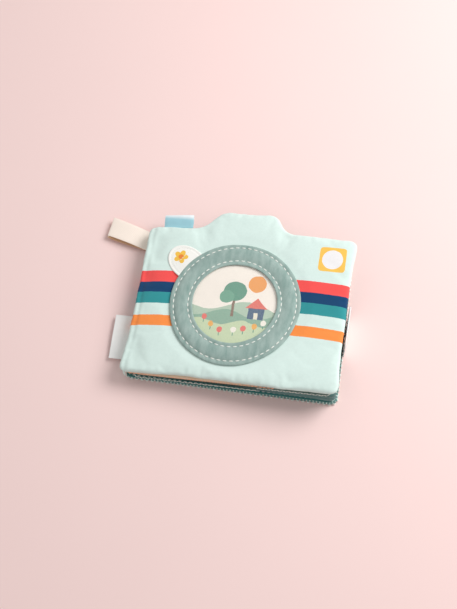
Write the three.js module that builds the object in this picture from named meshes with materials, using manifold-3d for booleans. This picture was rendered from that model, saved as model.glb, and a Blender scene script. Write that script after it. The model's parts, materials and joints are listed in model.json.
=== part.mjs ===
// A soft photo album shaped like a camera, closed and lying on its back.
// Millimetres. X runs from the spine to the fore edge, Y from the bottom edge to the top, Z up.
// The origin is the middle of the back cover's underside.

import * as THREE from "three";
import { mergeVertices } from "three/addons/utils/BufferGeometryUtils.js";
import Module from "manifold-3d";

const wasm = await Module();
wasm.setup();

// Driving dimensions of the covers

const coverWidth = 200;
const coverHeight = 154;
const cornerRadius = 8;
const humpRise = 19;
const humpBaseWidth = 104;
const humpTopWidth = 33;
const humpCentreX = -5;
const topEdgeBow = 3;

// Cloth, film and wadding

const coverCloth = 0.9;
const pageCloth = 0.6;
const filmThickness = 0.25;
const layerGap = 0.25;
const restGap = 0.3;
const clothRollIn = 0.6;

// Thicknesses of the padded panels

const backCoverThickness = 4.8;
const frontCoverThickness = 6.2;
const leafCount = 3;
const leafThicknessAtSpine = 2.6;
const leafSwell = 5;
const puffDepth = 11;

// Photo pockets, for prints of 150 by 100 mm

const windowSpineMargin = 38;
const windowForeMargin = 22;
const windowEndMargin = 31;
const windowWidth = coverWidth - windowSpineMargin - windowForeMargin;
const windowHeight = coverHeight - 2 * windowEndMargin;
const windowCornerRadius = 4;
const filmMargin = 7;
const pocketCentreX = (windowSpineMargin - windowForeMargin) / 2;

// Leaves

const leafInset = 1.5;
const bindingStart = 4.2;
const bindingWidth = 5;
const bindingThickness = 2.1;
const waddingRim = 0.3;

// Spine

const spineWaddingThickness = 1.2;
const spineEndInset = 3;

// Lens on the front cover

const lensCentreX = -4.4;
const lensCentreY = 1.7;
const lensOuterRadius = 62;
const lensRingWidth = 22;
const lensRingThickness = 3.2;
const lensRingEdgeRadius = 0.9;
const lensSeamWidth = 8;
const lensPictureThickness = 0.4;
const lensFilmThickness = 0.3;

// Peek tab beside the lens

const peekTabDirection = THREE.MathUtils.degToRad(143.6);
const peekTabWidth = 31;
const peekTabReach = 21;
const peekTabThickness = 1.5;
const peekTabRootGap = 2.6;

// Ribbon loop on the top edge

const ribbonWidth = 28;
const ribbonReach = 13;
const ribbonThickness = 0.6;
const ribbonOpening = 2;
const ribbonCentreX = -72;

// How far below the back cover's lining the trims on the spine are sewn in

const trimDrop = 0.2;

// Hanging loop on the spine

const tapeWidth = 20;
const tapeReach = 41.5;
const tapeThickness = 0.9;
const tapeOpening = 2;
const tapeCentreY = 66;
const tapeTurn = THREE.MathUtils.degToRad(15.9);

// Label on the spine

const labelWidth = 17.5;
const labelLength = 44.5;
const labelThickness = 0.6;
const labelCentreY = -36.3;

// Closing tab on the fore edge

const closingTabWidth = 42;
const closingTabLength = 30;
const closingTabThickness = 1.4;
const closingTabCentreY = -7.7;
const closingTabHeight = 1.6;
const closingTabLean = THREE.MathUtils.degToRad(2);
const closingTabRadius = 5;
const hookPadSize = 7;
const hookPadThickness = 0.8;
const hookPadCentreY = -12.2;
const hookPadDrop = 4.2;
const hookPadRadius = 1;

// How a padded edge rises from its rim to the flat middle, as shares of depth in and of height

const puffSteps = [
  { inShare: 0.05, riseShare: 0 },
  { inShare: 0, riseShare: 0.15 },
  { inShare: 0, riseShare: 0.4 },
  { inShare: 0.05, riseShare: 0.62 },
  { inShare: 0.25, riseShare: 0.83 },
  { inShare: 0.55, riseShare: 0.95 },
  { inShare: 1, riseShare: 1 },
];
const fillingSteps = puffSteps.slice(3);

// How finely the round stretches are drawn

const coverArcSteps = 3;
const leafArcSteps = 2;
const humpSteps = 5;
const tabSteps = 12;
const lensSteps = 64;

// Values worked out from the ones above

const halfWidth = coverWidth / 2;
const halfHeight = coverHeight / 2;
const coverTilt = Math.asin(leafCount * leafSwell / coverWidth);
const leafWedge = coverTilt / leafCount;
const leafSlope = Math.tan(leafWedge / 2);
const leafPitch = leafThicknessAtSpine + restGap;
const hingeHeight = backCoverThickness + restGap + leafCount * leafPitch;
const trimHeight = backCoverThickness - trimDrop;
const coverLiningTop = pageCloth + layerGap;
const coverFillingFloor = coverLiningTop + filmThickness + layerGap;
const pageStart = bindingStart + bindingWidth + restGap;
const filmWidth = windowWidth + 2 * filmMargin;
const filmHeight = windowHeight + 2 * filmMargin;
const lensInnerRadius = lensOuterRadius - lensRingWidth;
const topEdgeStart = cornerRadius - halfWidth;
const topEdgeSlope = Math.atan(topEdgeBow / (humpCentreX - humpBaseWidth / 2 - topEdgeStart));

const colours = {
  mint: 0xcfe9e0,
  felt: 0x8fb0a8,
  film: 0xe8f4f6,
  print: 0xf6e7da,
  wadding: 0xf7f5ef,
  peach: 0xf6dcc4,
  teal: 0x3f7f7c,
  ribbon: 0xbfe4ee,
  white: 0xfbfaf7,
  black: 0x1c1c1e,
};

// Each leaf's two pages have a colour of their own, from the top leaf down
const leafColours = [
  { front: 0xf08a78, back: 0xf6dcc4 },
  { front: 0x7fb9a8, back: 0x9ccabd },
  { front: 0x27415f, back: 0x3f7f7c },
];

function clothMaterial(color) {
  return new THREE.MeshStandardMaterial({ color, roughness: 0.9, metalness: 0 });
}

function filmMaterial() {
  const seeThrough = { transparent: true, opacity: 0.35 };
  return new THREE.MeshStandardMaterial({ color: colours.film, roughness: 0.12, ...seeThrough });
}

function named(name, geometry, material) {
  const mesh = new THREE.Mesh(geometry, material);
  mesh.name = name;
  return mesh;
}

// Outlines

// One smooth flank of the hump, level at its foot and at its crest.
function addFlank(shape, from, to) {
  const bend = (to.x - from.x) / 2;
  const nearFrom = new THREE.Vector2(from.x + bend, from.y);
  const nearTo = new THREE.Vector2(to.x - bend, to.y);
  const flank = new THREE.CubicBezierCurve(from, nearFrom, nearTo, to);
  flank.getPoints(humpSteps).forEach((point) => shape.lineTo(point.x, point.y));
}

// The camera's outline, counter-clockwise, from a left edge to the fore edge.
function cameraOutline(left, inset, arcSteps) {
  const right = halfWidth - inset;
  const bottom = -halfHeight + inset;
  const top = halfHeight - inset;
  const radius = cornerRadius - inset;
  const foot = top + topEdgeBow;
  const crest = foot + humpRise;
  const footLeft = new THREE.Vector2(humpCentreX - humpBaseWidth / 2, foot);
  const footRight = new THREE.Vector2(humpCentreX + humpBaseWidth / 2, foot);
  const crestLeft = new THREE.Vector2(humpCentreX - humpTopWidth / 2, crest);
  const crestRight = new THREE.Vector2(humpCentreX + humpTopWidth / 2, crest);
  const shape = new THREE.Shape();
  shape.absarc(left + radius, bottom + radius, radius, Math.PI, 1.5 * Math.PI, false);
  shape.absarc(right - radius, bottom + radius, radius, -Math.PI / 2, 0, false);
  shape.absarc(right - radius, top - radius, radius, 0, Math.PI / 2, false);
  addFlank(shape, footRight, crestRight);
  addFlank(shape, crestLeft, footLeft);
  shape.absarc(left + radius, top - radius, radius, Math.PI / 2, Math.PI, false);
  return shape.getPoints(arcSteps);
}

function roundedRectangle(width, height, radius, centreX = 0) {
  const x = width / 2 - radius;
  const y = height / 2 - radius;
  const shape = new THREE.Shape();
  shape.absarc(centreX + x, -y, radius, -Math.PI / 2, 0, false);
  shape.absarc(centreX + x, y, radius, 0, Math.PI / 2, false);
  shape.absarc(centreX - x, y, radius, Math.PI / 2, Math.PI, false);
  shape.absarc(centreX - x, -y, radius, Math.PI, 1.5 * Math.PI, false);
  shape.closePath();
  return shape;
}

// Solids

function slab(shape, thickness, steps = coverArcSteps) {
  return new THREE.ExtrudeGeometry(shape, { depth: thickness, bevelEnabled: false, curveSegments: steps });
}

function disc(radius, thickness) {
  const shape = new THREE.Shape();
  shape.absarc(0, 0, radius, 0, 2 * Math.PI, false);
  return slab(shape, thickness, lensSteps / 2);
}

// Points of an outline drawn in towards its middle, each lifted to the height for its X.
function ring(outline, inset, height) {
  return outline.map((point) => {
    const drawn = point.clone().setLength(point.length() - inset);
    return new THREE.Vector3(drawn.x, drawn.y, height(drawn.x));
  });
}

// A closed solid through a row of rings, with a fan over the first and the last.
function lofted(rings) {
  const count = rings[0].length;
  const last = (rings.length - 1) * count;
  const middle = (points) => {
    const total = points.reduce((sum, point) => sum.add(point), new THREE.Vector3());
    return total.divideScalar(count);
  };
  const vertices = [...rings.flat(), middle(rings[0]), middle(rings[rings.length - 1])];
  const firstMiddle = vertices.length - 2;
  const lastMiddle = vertices.length - 1;
  const faces = [];
  for (let i = 0; i < count; i += 1) {
    const next = (i + 1) % count;
    faces.push(firstMiddle, next, i);
    faces.push(lastMiddle, last + i, last + next);
    for (let near = 0; near < last; near += count) {
      const far = near + count;
      faces.push(near + i, near + next, far + next);
      faces.push(near + i, far + next, far + i);
    }
  }
  const geometry = new THREE.BufferGeometry().setFromPoints(vertices);
  geometry.setIndex(faces);
  return geometry;
}

// Turns a solid's top to its underside, and keeps its faces pointing out.
function flipped(geometry, height) {
  geometry.scale(1, 1, -1);
  geometry.translate(0, 0, height);
  const faces = geometry.index.array;
  for (let i = 0; i < faces.length; i += 3) {
    [faces[i], faces[i + 1]] = [faces[i + 1], faces[i]];
  }
  return geometry;
}

// A padded cloth shell, open below: up the outside to the middle and down the inside.
function paddedShell(outline, cloth, rim, height) {
  const side = (steps, extraIn, lower) => steps.map(({ inShare, riseShare }) =>
    ring(outline, inShare * puffDepth + extraIn, (x) => rim + (height(x) - lower - rim) * riseShare));
  const outside = side(puffSteps, 0, 0);
  const inside = side(puffSteps, cloth, cloth);
  return lofted([...inside.reverse(), ...outside]);
}

// The rings of a filling under such a shell, from its rim to its middle.
function fillingRings(outline, cloth, slack, rim, lowest, height) {
  return fillingSteps.map(({ inShare, riseShare }) => {
    const under = (x) => rim + (height(x) - cloth - rim) * riseShare - slack;
    return ring(outline, inShare * puffDepth + cloth + layerGap, (x) => Math.max(lowest, under(x)));
  });
}

function toManifold(geometry) {
  const bare = geometry.clone();
  bare.deleteAttribute("normal");
  bare.deleteAttribute("uv");
  const merged = mergeVertices(bare);
  const vertProperties = new Float32Array(merged.attributes.position.array);
  const triVerts = new Uint32Array(merged.index.array);
  return new wasm.Manifold(new wasm.Mesh({ numProp: 3, vertProperties, triVerts }));
}

function cut(geometry, tool) {
  const mesh = toManifold(geometry).subtract(toManifold(tool)).getMesh();
  const result = new THREE.BufferGeometry();
  result.setAttribute("position", new THREE.BufferAttribute(new Float32Array(mesh.vertProperties), 3));
  result.setIndex(new THREE.BufferAttribute(new Uint32Array(mesh.triVerts), 1));
  return result;
}

// Flat-folded tape in the XZ plane: a band with round ends, reaching from zero towards -X.
function tapeLoop(reach, opening, thickness, width) {
  const band = roundedRectangle(reach, opening + 2 * thickness, opening / 2 + thickness, -reach / 2);
  band.holes.push(roundedRectangle(reach - 2 * thickness, opening, opening / 2, -reach / 2));
  const geometry = slab(band, width);
  geometry.translate(0, 0, -width / 2);
  geometry.rotateX(Math.PI / 2);
  return geometry;
}

// Stands a flat slab on its edge, so that its X and Y become Y and Z and its thickness X.
function stoodUp(geometry) {
  const basis = new THREE.Matrix4().makeBasis(
    new THREE.Vector3(0, 1, 0),
    new THREE.Vector3(0, 0, 1),
    new THREE.Vector3(1, 0, 0),
  );
  return geometry.applyMatrix4(basis);
}

// A photo pocket's window and its film

function pocketWindow() {
  return roundedRectangle(windowWidth, windowHeight, windowCornerRadius, pocketCentreX);
}

function pocketFilm() {
  return slab(roundedRectangle(filmWidth, filmHeight, windowCornerRadius, pocketCentreX), filmThickness);
}

// The cover's parts lie on z = 0 with their padded side up

function coverShell(thickness) {
  const outline = cameraOutline(-halfWidth, 0, coverArcSteps);
  return paddedShell(outline, coverCloth, coverLiningTop, () => thickness);
}

function coverFilling(thickness) {
  const floor = coverFillingFloor;
  const outline = cameraOutline(-halfWidth, 0, coverArcSteps);
  const lowest = floor + waddingRim;
  const rings = fillingRings(outline, coverCloth, layerGap, coverLiningTop, lowest, () => thickness);
  const underside = ring(outline, puffDepth + coverCloth + layerGap, () => floor);
  const foot = rings[0].map((point) => new THREE.Vector3(point.x, point.y, floor));
  return lofted([underside, foot, ...rings]);
}

function coverLining() {
  const shape = new THREE.Shape(cameraOutline(-halfWidth + clothRollIn, clothRollIn, coverArcSteps));
  shape.holes.push(pocketWindow());
  return slab(shape, pageCloth);
}

function coverFilm() {
  return pocketFilm().translate(0, 0, coverLiningTop);
}

// Back cover and spine

function addBackCover(album) {
  const thickness = backCoverThickness;
  const film = pocketFilm().translate(0, 0, thickness - coverLiningTop - filmThickness);
  const lining = coverLining().translate(0, 0, thickness - pageCloth);
  album.add(
    named("back_cover_outer", flipped(coverShell(thickness), thickness), clothMaterial(colours.mint)),
    named("back_cover_wadding", flipped(coverFilling(thickness), thickness), clothMaterial(colours.wadding)),
    named("back_cover_pocket_film", film, filmMaterial()),
    named("back_cover_lining", lining, clothMaterial(colours.teal)),
  );
}

function spinePanel(start, thickness, inset) {
  const foot = backCoverThickness + restGap;
  const rise = hingeHeight - restGap - foot;
  const length = coverHeight - 2 * inset;
  const geometry = new THREE.BoxGeometry(thickness, length, rise);
  return geometry.translate(start + thickness / 2 - halfWidth, 0, foot + rise / 2);
}

function addSpine(album) {
  const waddingStart = coverCloth + layerGap;
  const liningStart = waddingStart + spineWaddingThickness + layerGap;
  const outer = spinePanel(0, coverCloth, spineEndInset);
  const wadding = spinePanel(waddingStart, spineWaddingThickness, spineEndInset + coverCloth);
  const lining = spinePanel(liningStart, pageCloth, spineEndInset);
  album.add(
    named("spine_outer", outer, clothMaterial(colours.mint)),
    named("spine_wadding", wadding, clothMaterial(colours.wadding)),
    named("spine_lining", lining, clothMaterial(colours.mint)),
  );
}

function addSpineTrims(album) {
  const label = new THREE.BoxGeometry(labelWidth, labelLength, labelThickness);
  const labelMesh = named("side_label", label, clothMaterial(colours.white));
  labelMesh.position.set(-halfWidth - restGap - labelWidth / 2, labelCentreY, trimHeight);
  const tape = tapeLoop(tapeReach, tapeOpening, tapeThickness, tapeWidth);
  const slant = new THREE.Matrix4().makeShear(-Math.tan(tapeTurn), 0, 0, 0, 0, 0);
  const loop = named("hanging_loop", tape.applyMatrix4(slant), clothMaterial(colours.peach));
  loop.position.set(-halfWidth - restGap, tapeCentreY, trimHeight);
  album.add(labelMesh, loop);
}

// Closing tab, standing against the fore edge

function addClosingTab(album) {
  const tab = new THREE.Group();
  const outline = roundedRectangle(closingTabWidth, closingTabLength, closingTabRadius);
  const strap = stoodUp(slab(outline, closingTabThickness));
  const strapMesh = named("closing_tab", strap, clothMaterial(colours.white));
  strapMesh.position.set(0, closingTabCentreY, closingTabLength / 2);
  const pad = slab(roundedRectangle(hookPadSize, hookPadSize, hookPadRadius), hookPadThickness);
  const padMesh = named("closing_tab_hook_pad", stoodUp(pad), clothMaterial(colours.black));
  padMesh.position.set(-restGap - hookPadThickness, hookPadCentreY, closingTabLength - hookPadDrop);
  tab.add(strapMesh, padMesh);
  tab.position.set(halfWidth + restGap, 0, closingTabHeight);
  tab.rotation.y = closingTabLean;
  album.add(tab);
}

// Everything that opens turns on one line, along the top edge of the spine

function turnedAboutHinge(angle) {
  const hinge = new THREE.Group();
  hinge.position.set(-halfWidth, 0, hingeHeight);
  hinge.rotation.y = -angle;
  return hinge;
}

// Leaves, wedge-shaped, thin at the spine and thick at the fore edge

function leafHeight(x) {
  return leafThicknessAtSpine / 2 + leafSlope * (x + halfWidth);
}

function leafPage() {
  const outline = cameraOutline(pageStart - halfWidth, leafInset, leafArcSteps);
  const page = paddedShell(outline, pageCloth, layerGap / 2, leafHeight);
  return cut(page, slab(pocketWindow(), coverWidth));
}

function leafFilling() {
  const outline = cameraOutline(pageStart - halfWidth, leafInset, leafArcSteps);
  const slack = filmThickness + 2 * layerGap;
  const upper = fillingRings(outline, pageCloth, slack, layerGap / 2, waddingRim / 2, leafHeight);
  const lower = upper.map((points) => points.map(({ x, y, z }) => new THREE.Vector3(x, y, -z)));
  return lofted([...lower.reverse(), ...upper]);
}

function leafFilm() {
  const film = pocketFilm();
  const start = leafThicknessAtSpine / 2 - pageCloth - layerGap - filmThickness;
  film.translate(halfWidth, 0, start);
  film.rotateY(-leafWedge / 2);
  return film.translate(-halfWidth, 0, 0);
}

function addLeaf(album, number) {
  const name = `leaf_${number}`;
  const tones = leafColours[(number - 1) % leafColours.length];
  const depth = restGap + (number - 1) * leafPitch + leafThicknessAtSpine / 2;
  const hinge = turnedAboutHinge((leafCount - number + 1 / 2) * leafWedge);
  const leaf = new THREE.Group();
  leaf.position.set(halfWidth, 0, -depth);
  const bindingLength = coverHeight - 2 * leafInset - 2 * cornerRadius;
  const binding = new THREE.BoxGeometry(bindingWidth, bindingLength, bindingThickness);
  binding.translate(bindingStart + bindingWidth / 2 - halfWidth, 0, 0);
  leaf.add(
    named(`${name}_front_page`, leafPage(), clothMaterial(tones.front)),
    named(`${name}_front_pocket_film`, leafFilm(), filmMaterial()),
    named(`${name}_wadding`, leafFilling(), clothMaterial(colours.wadding)),
    named(`${name}_back_pocket_film`, leafFilm().rotateX(Math.PI), filmMaterial()),
    named(`${name}_back_page`, flipped(leafPage(), 0), clothMaterial(tones.back)),
    named(`${name}_binding`, binding, clothMaterial(tones.front)),
  );
  hinge.add(leaf);
  album.add(hinge);
}

// Front cover with the lens

function lensRing() {
  const seat = lensPictureThickness + layerGap + lensFilmThickness + layerGap;
  const seam = lensInnerRadius + lensSeamWidth;
  const edge = lensRingEdgeRadius;
  const top = lensRingThickness;
  const profile = [
    new THREE.Vector2(seam, 0),
    new THREE.Vector2(lensOuterRadius - edge / 2, 0),
    new THREE.Vector2(lensOuterRadius, edge / 2),
    new THREE.Vector2(lensOuterRadius, top - edge),
    new THREE.Vector2(lensOuterRadius - edge, top),
    new THREE.Vector2(lensInnerRadius + edge, top),
    new THREE.Vector2(lensInnerRadius, top - edge),
    new THREE.Vector2(lensInnerRadius, seat),
    new THREE.Vector2(seam, seat),
    new THREE.Vector2(seam, 0),
  ];
  return new THREE.LatheGeometry(profile, lensSteps).rotateX(Math.PI / 2);
}

function peekTab() {
  const half = peekTabWidth / 2;
  const shape = new THREE.Shape();
  shape.absellipse(0, 0, peekTabReach, half, -Math.PI / 2, Math.PI / 2, false);
  shape.closePath();
  return slab(shape, peekTabThickness, tabSteps);
}

function addLens(cover) {
  const lens = new THREE.Group();
  const underFilm = lensInnerRadius + lensSeamWidth - restGap;
  const film = disc(underFilm, lensFilmThickness).translate(0, 0, lensPictureThickness + layerGap);
  lens.add(
    named("lens_ring", lensRing(), clothMaterial(colours.felt)),
    named("lens_picture", disc(underFilm, lensPictureThickness), clothMaterial(colours.print)),
    named("lens_window", film, filmMaterial()),
  );
  lens.position.set(lensCentreX, lensCentreY, frontCoverThickness + restGap);
  const tab = named("peek_tab", peekTab(), clothMaterial(colours.white));
  const tabGroup = new THREE.Group();
  tab.position.x = lensOuterRadius + peekTabRootGap;
  tabGroup.add(tab);
  tabGroup.rotation.z = peekTabDirection;
  lens.add(tabGroup);
  cover.add(lens);
}

function addRibbonLoop(cover) {
  const loop = named(
    "ribbon_loop",
    tapeLoop(ribbonReach, ribbonOpening, ribbonThickness, ribbonWidth),
    clothMaterial(colours.ribbon),
  );
  const seamHeight = halfHeight + Math.tan(topEdgeSlope) * (ribbonCentreX - topEdgeStart);
  loop.rotation.z = topEdgeSlope - Math.PI / 2;
  loop.position.set(ribbonCentreX, seamHeight + restGap, frontCoverThickness / 2);
  cover.add(loop);
}

function addFrontCover(album) {
  const hinge = turnedAboutHinge(coverTilt);
  const cover = new THREE.Group();
  cover.position.x = halfWidth;
  cover.add(
    named("front_cover_outer", coverShell(frontCoverThickness), clothMaterial(colours.mint)),
    named("front_cover_wadding", coverFilling(frontCoverThickness), clothMaterial(colours.wadding)),
    named("front_cover_pocket_film", coverFilm(), filmMaterial()),
    named("front_cover_lining", coverLining(), clothMaterial(colours.peach)),
  );
  addLens(cover);
  addRibbonLoop(cover);
  hinge.add(cover);
  album.add(hinge);
}

const album = new THREE.Group();
addBackCover(album);
addSpine(album);
addSpineTrims(album);
addClosingTab(album);
for (let number = 1; number <= leafCount; number += 1) {
  addLeaf(album, number);
}
addFrontCover(album);

export default album;
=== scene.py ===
# %% [markdown]
# # A soft photo album shaped like a camera
# The album is a stack of stuffed cloth panels, sewn together along one edge. Each panel here is made
# the way a sewing room makes it: an outline is cut, the panel is filled and shaped, and thread goes
# through it last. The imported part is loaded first, because every piece takes its place from it.

# %% The frame
import math
import bmesh
import bpy
import numpy as np
from mathutils import Matrix, Vector
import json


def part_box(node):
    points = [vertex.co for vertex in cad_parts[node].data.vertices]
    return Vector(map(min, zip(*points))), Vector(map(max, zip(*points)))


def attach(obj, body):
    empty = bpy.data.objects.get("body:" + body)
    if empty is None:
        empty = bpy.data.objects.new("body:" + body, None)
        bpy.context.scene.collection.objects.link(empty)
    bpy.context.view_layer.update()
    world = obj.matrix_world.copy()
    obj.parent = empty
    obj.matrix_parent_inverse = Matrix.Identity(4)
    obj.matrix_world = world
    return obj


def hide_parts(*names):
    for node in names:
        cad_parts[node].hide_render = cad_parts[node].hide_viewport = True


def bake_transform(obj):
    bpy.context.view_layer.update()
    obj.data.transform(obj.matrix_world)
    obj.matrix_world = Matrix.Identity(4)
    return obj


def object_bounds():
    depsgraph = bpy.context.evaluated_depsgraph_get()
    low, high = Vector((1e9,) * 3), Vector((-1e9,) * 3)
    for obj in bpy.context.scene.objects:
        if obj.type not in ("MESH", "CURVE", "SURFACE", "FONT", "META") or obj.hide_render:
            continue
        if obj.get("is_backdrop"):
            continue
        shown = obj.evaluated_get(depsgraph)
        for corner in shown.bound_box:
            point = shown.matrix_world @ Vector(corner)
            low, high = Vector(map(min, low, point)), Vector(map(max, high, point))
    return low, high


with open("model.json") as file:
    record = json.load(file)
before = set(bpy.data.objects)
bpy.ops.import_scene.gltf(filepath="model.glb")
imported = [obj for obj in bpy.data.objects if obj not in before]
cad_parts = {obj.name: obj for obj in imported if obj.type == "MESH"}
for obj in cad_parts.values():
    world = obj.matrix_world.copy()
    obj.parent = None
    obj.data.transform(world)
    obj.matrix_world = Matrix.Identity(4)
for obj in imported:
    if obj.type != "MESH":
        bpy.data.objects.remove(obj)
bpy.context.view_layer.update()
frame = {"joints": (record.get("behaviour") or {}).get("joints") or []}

# %% [markdown]
# ## Sizes
# Lengths are metres, and MM turns a size read in millimetres into them. The hinge line that all the
# panels share comes from the frame, and so does the place of the spine's lining.

# %% Sizes of the album
MM = 0.001
NEAR = 0.01 * MM
COVER_WIDTH = 200 * MM
COVER_HEIGHT = 154 * MM
CORNER_RADIUS = 8 * MM
HUMP_RISE = 19 * MM
HUMP_FEET = (-48 * MM, 34.0 * MM)
HUMP_CREST = (-30.4 * MM, 21.5 * MM)
HUMP_ROUNDING = 7.5 * MM
TOP_EDGE_BOW = 3 * MM
LEAF_COUNT = 3
LEAF_SWELL = 5 * MM
LEAF_HALF_AT_SPINE = 1.3 * MM
LEAF_INSET = 1.5 * MM
LEAF_PITCH = 2.9 * MM
LEAF_FIRST_DEPTH = 1.6 * MM
PAGE_LEFT = -90.5 * MM
PAGE_CLOTH = 0.6 * MM
WINDOW_SIZE = Vector((140 * MM, 92 * MM))
WINDOW_RADIUS = 4 * MM
WINDOW_CENTRE = 8 * MM
FILM_MARGIN = 7 * MM
FRONT_THICKNESS = 6.2 * MM
BACK_THICKNESS = 4.8 * MM

half_width = COVER_WIDTH / 2
half_height = COVER_HEIGHT / 2
cover_tilt = math.asin(LEAF_COUNT * LEAF_SWELL / COVER_WIDTH)
leaf_wedge = cover_tilt / LEAF_COUNT
leaf_slope = math.tan(leaf_wedge / 2)
film_size = WINDOW_SIZE + Vector((2 * FILM_MARGIN, 2 * FILM_MARGIN))
hinge = Vector(next(j["pos_m"] for j in frame["joints"] if j["name"] == "front_cover_open"))


def turned_about_hinge(angle, depth=0.0):
    """The place of a panel that was made flat around the origin: hung on the hinge line and turned up."""
    turn = Matrix.Rotation(-angle, 4, "Y")
    return Matrix.Translation(hinge) @ turn @ Matrix.Translation((half_width, 0, -depth))


cover_place = turned_about_hinge(cover_tilt)
back_place = Matrix.Identity(4)
leaf_places = {
    number: turned_about_hinge(
        (LEAF_COUNT - number + 0.5) * leaf_wedge, LEAF_FIRST_DEPTH + (number - 1) * LEAF_PITCH)
    for number in range(1, LEAF_COUNT + 1)
}


def leaf_half(x):
    """Half a leaf's thickness at a place along it: thin at the spine and thick at the fore edge."""
    return LEAF_HALF_AT_SPINE + leaf_slope * (x + half_width)


print("Hinge line at", [round(value * 1000, 1) for value in hinge], "mm, cover tilted",
      round(math.degrees(cover_tilt), 2), "degrees")

# %% [markdown]
# ## The camera
# The photograph was taken from high up, a little to the right of the album's bottom edge, with the
# picture turned by a few degrees. The camera is set up first, so that every later look is taken from
# the same place. The picture's middle isn't the album's middle, and a small lens shift makes up for it.

# %% The camera
PICTURE_SIZE = Vector((457, 609))
AIM_PIXEL = Vector((240.35, 311.8))
FOCAL_PIXELS = 1283.61
SENSOR = 36.0
aim = Vector((0, 0, 15 * MM))
azimuth = math.radians(15.12)
elevation = math.radians(66.17)
roll = math.radians(-6.86)
distance = 1209.21 * MM

towards = Vector((
    math.sin(azimuth) * math.cos(elevation),
    -math.cos(azimuth) * math.cos(elevation),
    math.sin(elevation)))
level = (-towards).cross(Vector((0, 0, 1))).normalized()
upright = level.cross(-towards)
right = level * math.cos(roll) + upright * math.sin(roll)
up = upright * math.cos(roll) - level * math.sin(roll)
camera = bpy.data.objects.new("camera", bpy.data.cameras.new("camera"))
bpy.context.collection.objects.link(camera)
camera.matrix_world = Matrix.Translation(aim + towards * distance) @ Matrix(
    (right, up, towards)).transposed().to_4x4()
camera.data.sensor_width = SENSOR
camera.data.lens = FOCAL_PIXELS / PICTURE_SIZE.y * SENSOR
camera.data.shift_x = (PICTURE_SIZE.x / 2 - AIM_PIXEL.x) / PICTURE_SIZE.y
camera.data.shift_y = (AIM_PIXEL.y - PICTURE_SIZE.y / 2) / PICTURE_SIZE.y
camera.data.clip_start = 10 * MM
camera.data.clip_end = 20
bpy.context.scene.camera = camera
print("Lens", round(camera.data.lens, 1), "mm")

# %% [markdown]
# ## Ways of working
# A few small helpers do what hands do in the viewport. One clears the selection, because the frame's
# own meshes arrive selected. One picks points, edges or faces by where they are. One ends a piece: it
# gets its finish, its smooth shading, its place and the body that it moves with.

# %% Helpers for modelling


def start_clean():
    """Leaves edit mode and selects nothing."""
    if bpy.context.object and bpy.context.object.mode != "OBJECT":
        bpy.ops.object.mode_set(mode="OBJECT")
    bpy.ops.object.select_all(action="DESELECT")


def only(piece):
    """Makes a piece the one that is selected and active."""
    start_clean()
    piece.select_set(True)
    bpy.context.view_layer.objects.active = piece


def pick(kind, test):
    """In edit mode, selects the VERT, EDGE or FACE elements that pass a test, and nothing else."""
    bpy.ops.mesh.select_mode(type=kind)
    bpy.ops.mesh.select_all(action="DESELECT")
    edited = bmesh.from_edit_mesh(bpy.context.edit_object.data)
    edited.normal_update()
    elements = {"VERT": edited.verts, "EDGE": edited.edges, "FACE": edited.faces}[kind]
    for element in elements:
        if test(element):
            element.select_set(True)
    edited.select_flush_mode()
    bmesh.update_edit_mesh(bpy.context.edit_object.data)


def apply(piece, kind, **settings):
    """Adds a modifier with its settings and applies it."""
    only(piece)
    modifier = piece.modifiers.new(kind.title(), kind)
    for key, value in settings.items():
        setattr(modifier, key, value)
    bpy.ops.object.modifier_apply(modifier=modifier.name)


def points_of(piece):
    """A piece's points as rows of x, y and z."""
    flat = np.empty(len(piece.data.vertices) * 3, np.float32)
    piece.data.vertices.foreach_get("co", flat)
    return flat.reshape(-1, 3).astype(float)


def move_points(piece, points):
    """Gives a piece's points new places."""
    piece.data.vertices.foreach_set("co", points.astype(np.float32).ravel())
    piece.data.update()


def copy_of(piece, name):
    """A copy with a mesh of its own."""
    twin = piece.copy()
    twin.data = piece.data.copy()
    twin.name = name
    bpy.context.collection.objects.link(twin)
    return twin


def turned_over(piece):
    """The mirror image of a piece, upside down, with its faces pointing outwards again."""
    piece.data.transform(Matrix.Diagonal((1, 1, -1, 1)))
    only(piece)
    bpy.ops.object.mode_set(mode="EDIT")
    bpy.ops.mesh.select_all(action="SELECT")
    bpy.ops.mesh.flip_normals()
    bpy.ops.object.mode_set(mode="OBJECT")
    return piece


def smoothstep(start, end, values):
    """How far values have come from start to end: 0 to 1, with a soft beginning and end."""
    share = np.clip((values - start) / (end - start), 0, 1)
    return share * share * (3 - 2 * share)


def finish_piece(piece, name, finish, body, place=None, replaces=(), angle=50):
    """Names a piece, dresses it, puts it in place and lets it ride on its body."""
    piece.name = name
    if finish is not None:
        piece.data.materials.clear()
        piece.data.materials.append(finish)
    if place is not None:
        piece.data.transform(place)
    only(piece)
    bpy.ops.object.shade_smooth_by_angle(angle=math.radians(angle))
    if body is not None:
        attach(piece, body)
    if replaces:
        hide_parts(*replaces)
    return piece


# %% [markdown]
# ## Finishes
# Every finish is built from nodes. One helper adds a node with its settings and links, and one turns
# the hex colours, as a designer writes them, into the linear values that shaders read. The others are
# the steps that most finishes share: mottling, a change of tone, a fine relief and the last shader.

# %% Helpers for finishes


def colour(hex_text):
    """An sRGB hex colour as linear red, green, blue and alpha."""
    values = [int(hex_text[i:i + 2], 16) / 255 for i in (1, 3, 5)]
    linear = [v / 12.92 if v <= 0.04045 else ((v + 0.055) / 1.055) ** 2.4 for v in values]
    return (*linear, 1.0)


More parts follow.
